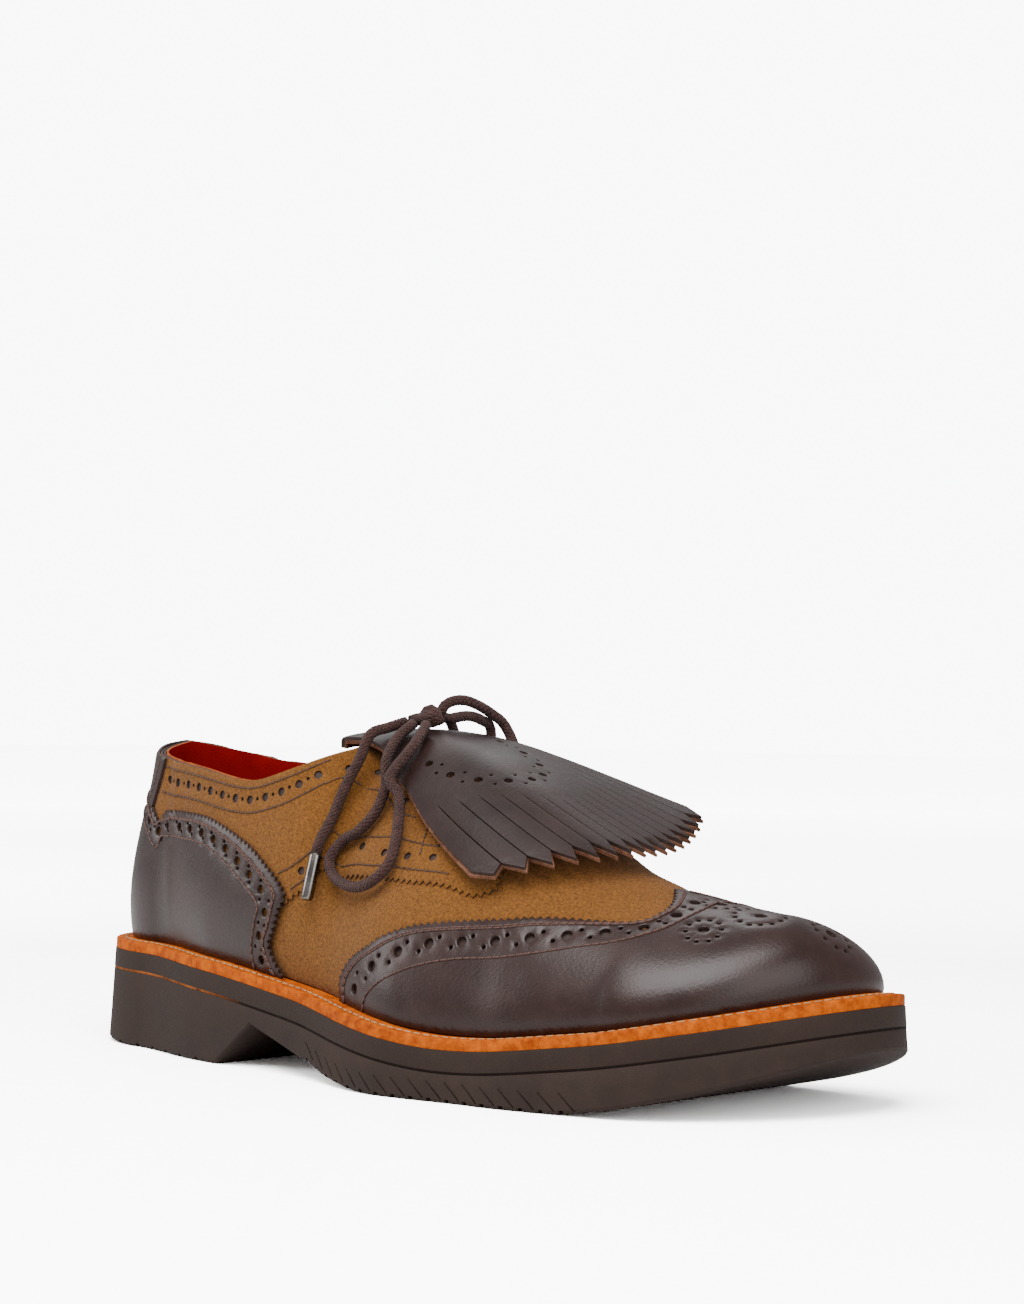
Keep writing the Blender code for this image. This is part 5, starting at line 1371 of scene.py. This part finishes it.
def dressed(name, node, material, soft):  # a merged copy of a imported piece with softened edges
    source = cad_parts[node]
    mesh = source.data.copy()
    mesh.transform(source.matrix_world)
    mesh.materials.clear()
    mesh.materials.append(material)
    data = bmesh.new()
    data.from_mesh(mesh)
    bmesh.ops.remove_doubles(data, verts=data.verts, dist=dressing["merge"])
    bmesh.ops.recalc_face_normals(data, faces=data.faces)
    if soft:
        rim = math.radians(dressing["rim"])
        rims = [edge for edge in data.edges if edge.is_manifold and edge.calc_face_angle() > rim]
        bmesh.ops.bevel(data, geom=rims, offset=soft, offset_type="OFFSET", segments=2, profile=0.5,
                        affect="EDGES", clamp_overlap=True)
    for face in data.faces:
        face.material_index = 0
    data.to_mesh(mesh)
    data.free()
    piece = bpy.data.objects.new(name, mesh)
    bpy.context.scene.collection.objects.link(piece)
    mesh.shade_smooth()
    mesh.set_sharp_from_angle(angle=math.radians(dressing["sharp"]))
    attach(piece, "root")
    standFor(node)


dressed("tongueLeather", "tongue", calf, dressing["soft"])
dressed("laceBars", "lace_crossing", laceWeave, 0)
print("tongue dressed")

# Floor and light
studio = {"floor": (0.80, 0.80, 0.795), "floorSize": 14, "near": 0.5, "far": 2.6, "floorSeen": 5.4,
          "farSeen": 22.0, "world": 0.50, "worldSeen": 9.5, "air": (0.97, 0.98, 1.0, 1),
          "lights": {  # place, aim, size, power
              "keyLight": ((0.25, -0.55, 1.15), (0.0, 0.0, 0.05), (1.1, 0.9), 27),
              "fillLight": ((1.3, -0.3, 0.6), (0.0, 0.0, 0.05), (1.0, 1.0), 9),
              "sideLight": ((-1.05, -0.75, 0.55), (-0.1, 0.0, 0.05), (0.7, 0.7), 8),
              "rimLight": ((-0.7, 0.5, 0.9), (0.0, 0.0, 0.05), (0.9, 0.6), 3)}}


def studioLight(name, spot, at, size, power):
    data = bpy.data.lights.new(name, "AREA")
    data.energy = power
    data.shape = "RECTANGLE"
    data.size, data.size_y = size
    light = bpy.data.objects.new(name, data)
    bpy.context.scene.collection.objects.link(light)
    light.location = spot
    light.rotation_euler = (Vector(at) - Vector(spot)).to_track_quat("-Z", "Y").to_euler()


def floorPaint():  # white to the camera alone, and whiter with distance so that no horizon shows
    material = bpy.data.materials.new("floorPaint")
    material.use_nodes = True
    tree = material.node_tree
    tree.nodes.clear()
    add, link = tree.nodes.new, tree.links.new
    out, mix, rays = add("ShaderNodeOutputMaterial"), add("ShaderNodeMixShader"), add("ShaderNodeLightPath")
    lit, seen = add("ShaderNodeBsdfDiffuse"), add("ShaderNodeBsdfDiffuse")
    lit.inputs["Color"].default_value = (*studio["floor"], 1)
    where, away = add("ShaderNodeTexCoord"), add("ShaderNodeVectorMath")
    boost, tint = add("ShaderNodeMapRange"), add("ShaderNodeVectorMath")
    away.operation, tint.operation = "LENGTH", "SCALE"
    for socket, value in (("From Min", "near"), ("From Max", "far"),
                          ("To Min", "floorSeen"), ("To Max", "farSeen")):
        boost.inputs[socket].default_value = studio[value]
    tint.inputs[0].default_value = studio["floor"]
    link(where.outputs["Object"], away.inputs[0])
    link(away.outputs["Value"], boost.inputs["Value"])
    link(boost.outputs["Result"], tint.inputs["Scale"])
    link(tint.outputs["Vector"], seen.inputs["Color"])
    link(rays.outputs["Is Camera Ray"], mix.inputs[0])
    link(lit.outputs[0], mix.inputs[1])
    link(seen.outputs[0], mix.inputs[2])
    link(mix.outputs[0], out.inputs["Surface"])
    return material


for name, settings in studio["lights"].items():
    studioLight(name, *settings)
bpy.ops.mesh.primitive_plane_add(size=studio["floorSize"], location=(0, 0, 0))
floor = bpy.context.active_object
floor.name = "studioFloor"
floor.data.materials.append(floorPaint())


def studioAir():  # pale air, brighter to the camera than to the shoe
    world = bpy.data.worlds.new("studio")
    bpy.context.scene.world = world
    world.use_nodes = True
    nodes, link = world.node_tree.nodes, world.node_tree.links.new
    backing, seen, rays = nodes["Background"], nodes.new("ShaderNodeMapRange"), nodes.new("ShaderNodeLightPath")
    backing.inputs["Color"].default_value = studio["air"]
    seen.inputs["To Min"].default_value = studio["world"]
    seen.inputs["To Max"].default_value = studio["worldSeen"]
    link(rays.outputs["Is Camera Ray"], seen.inputs["Value"])
    link(seen.outputs["Result"], backing.inputs["Strength"])


studioAir()
print("studio set")
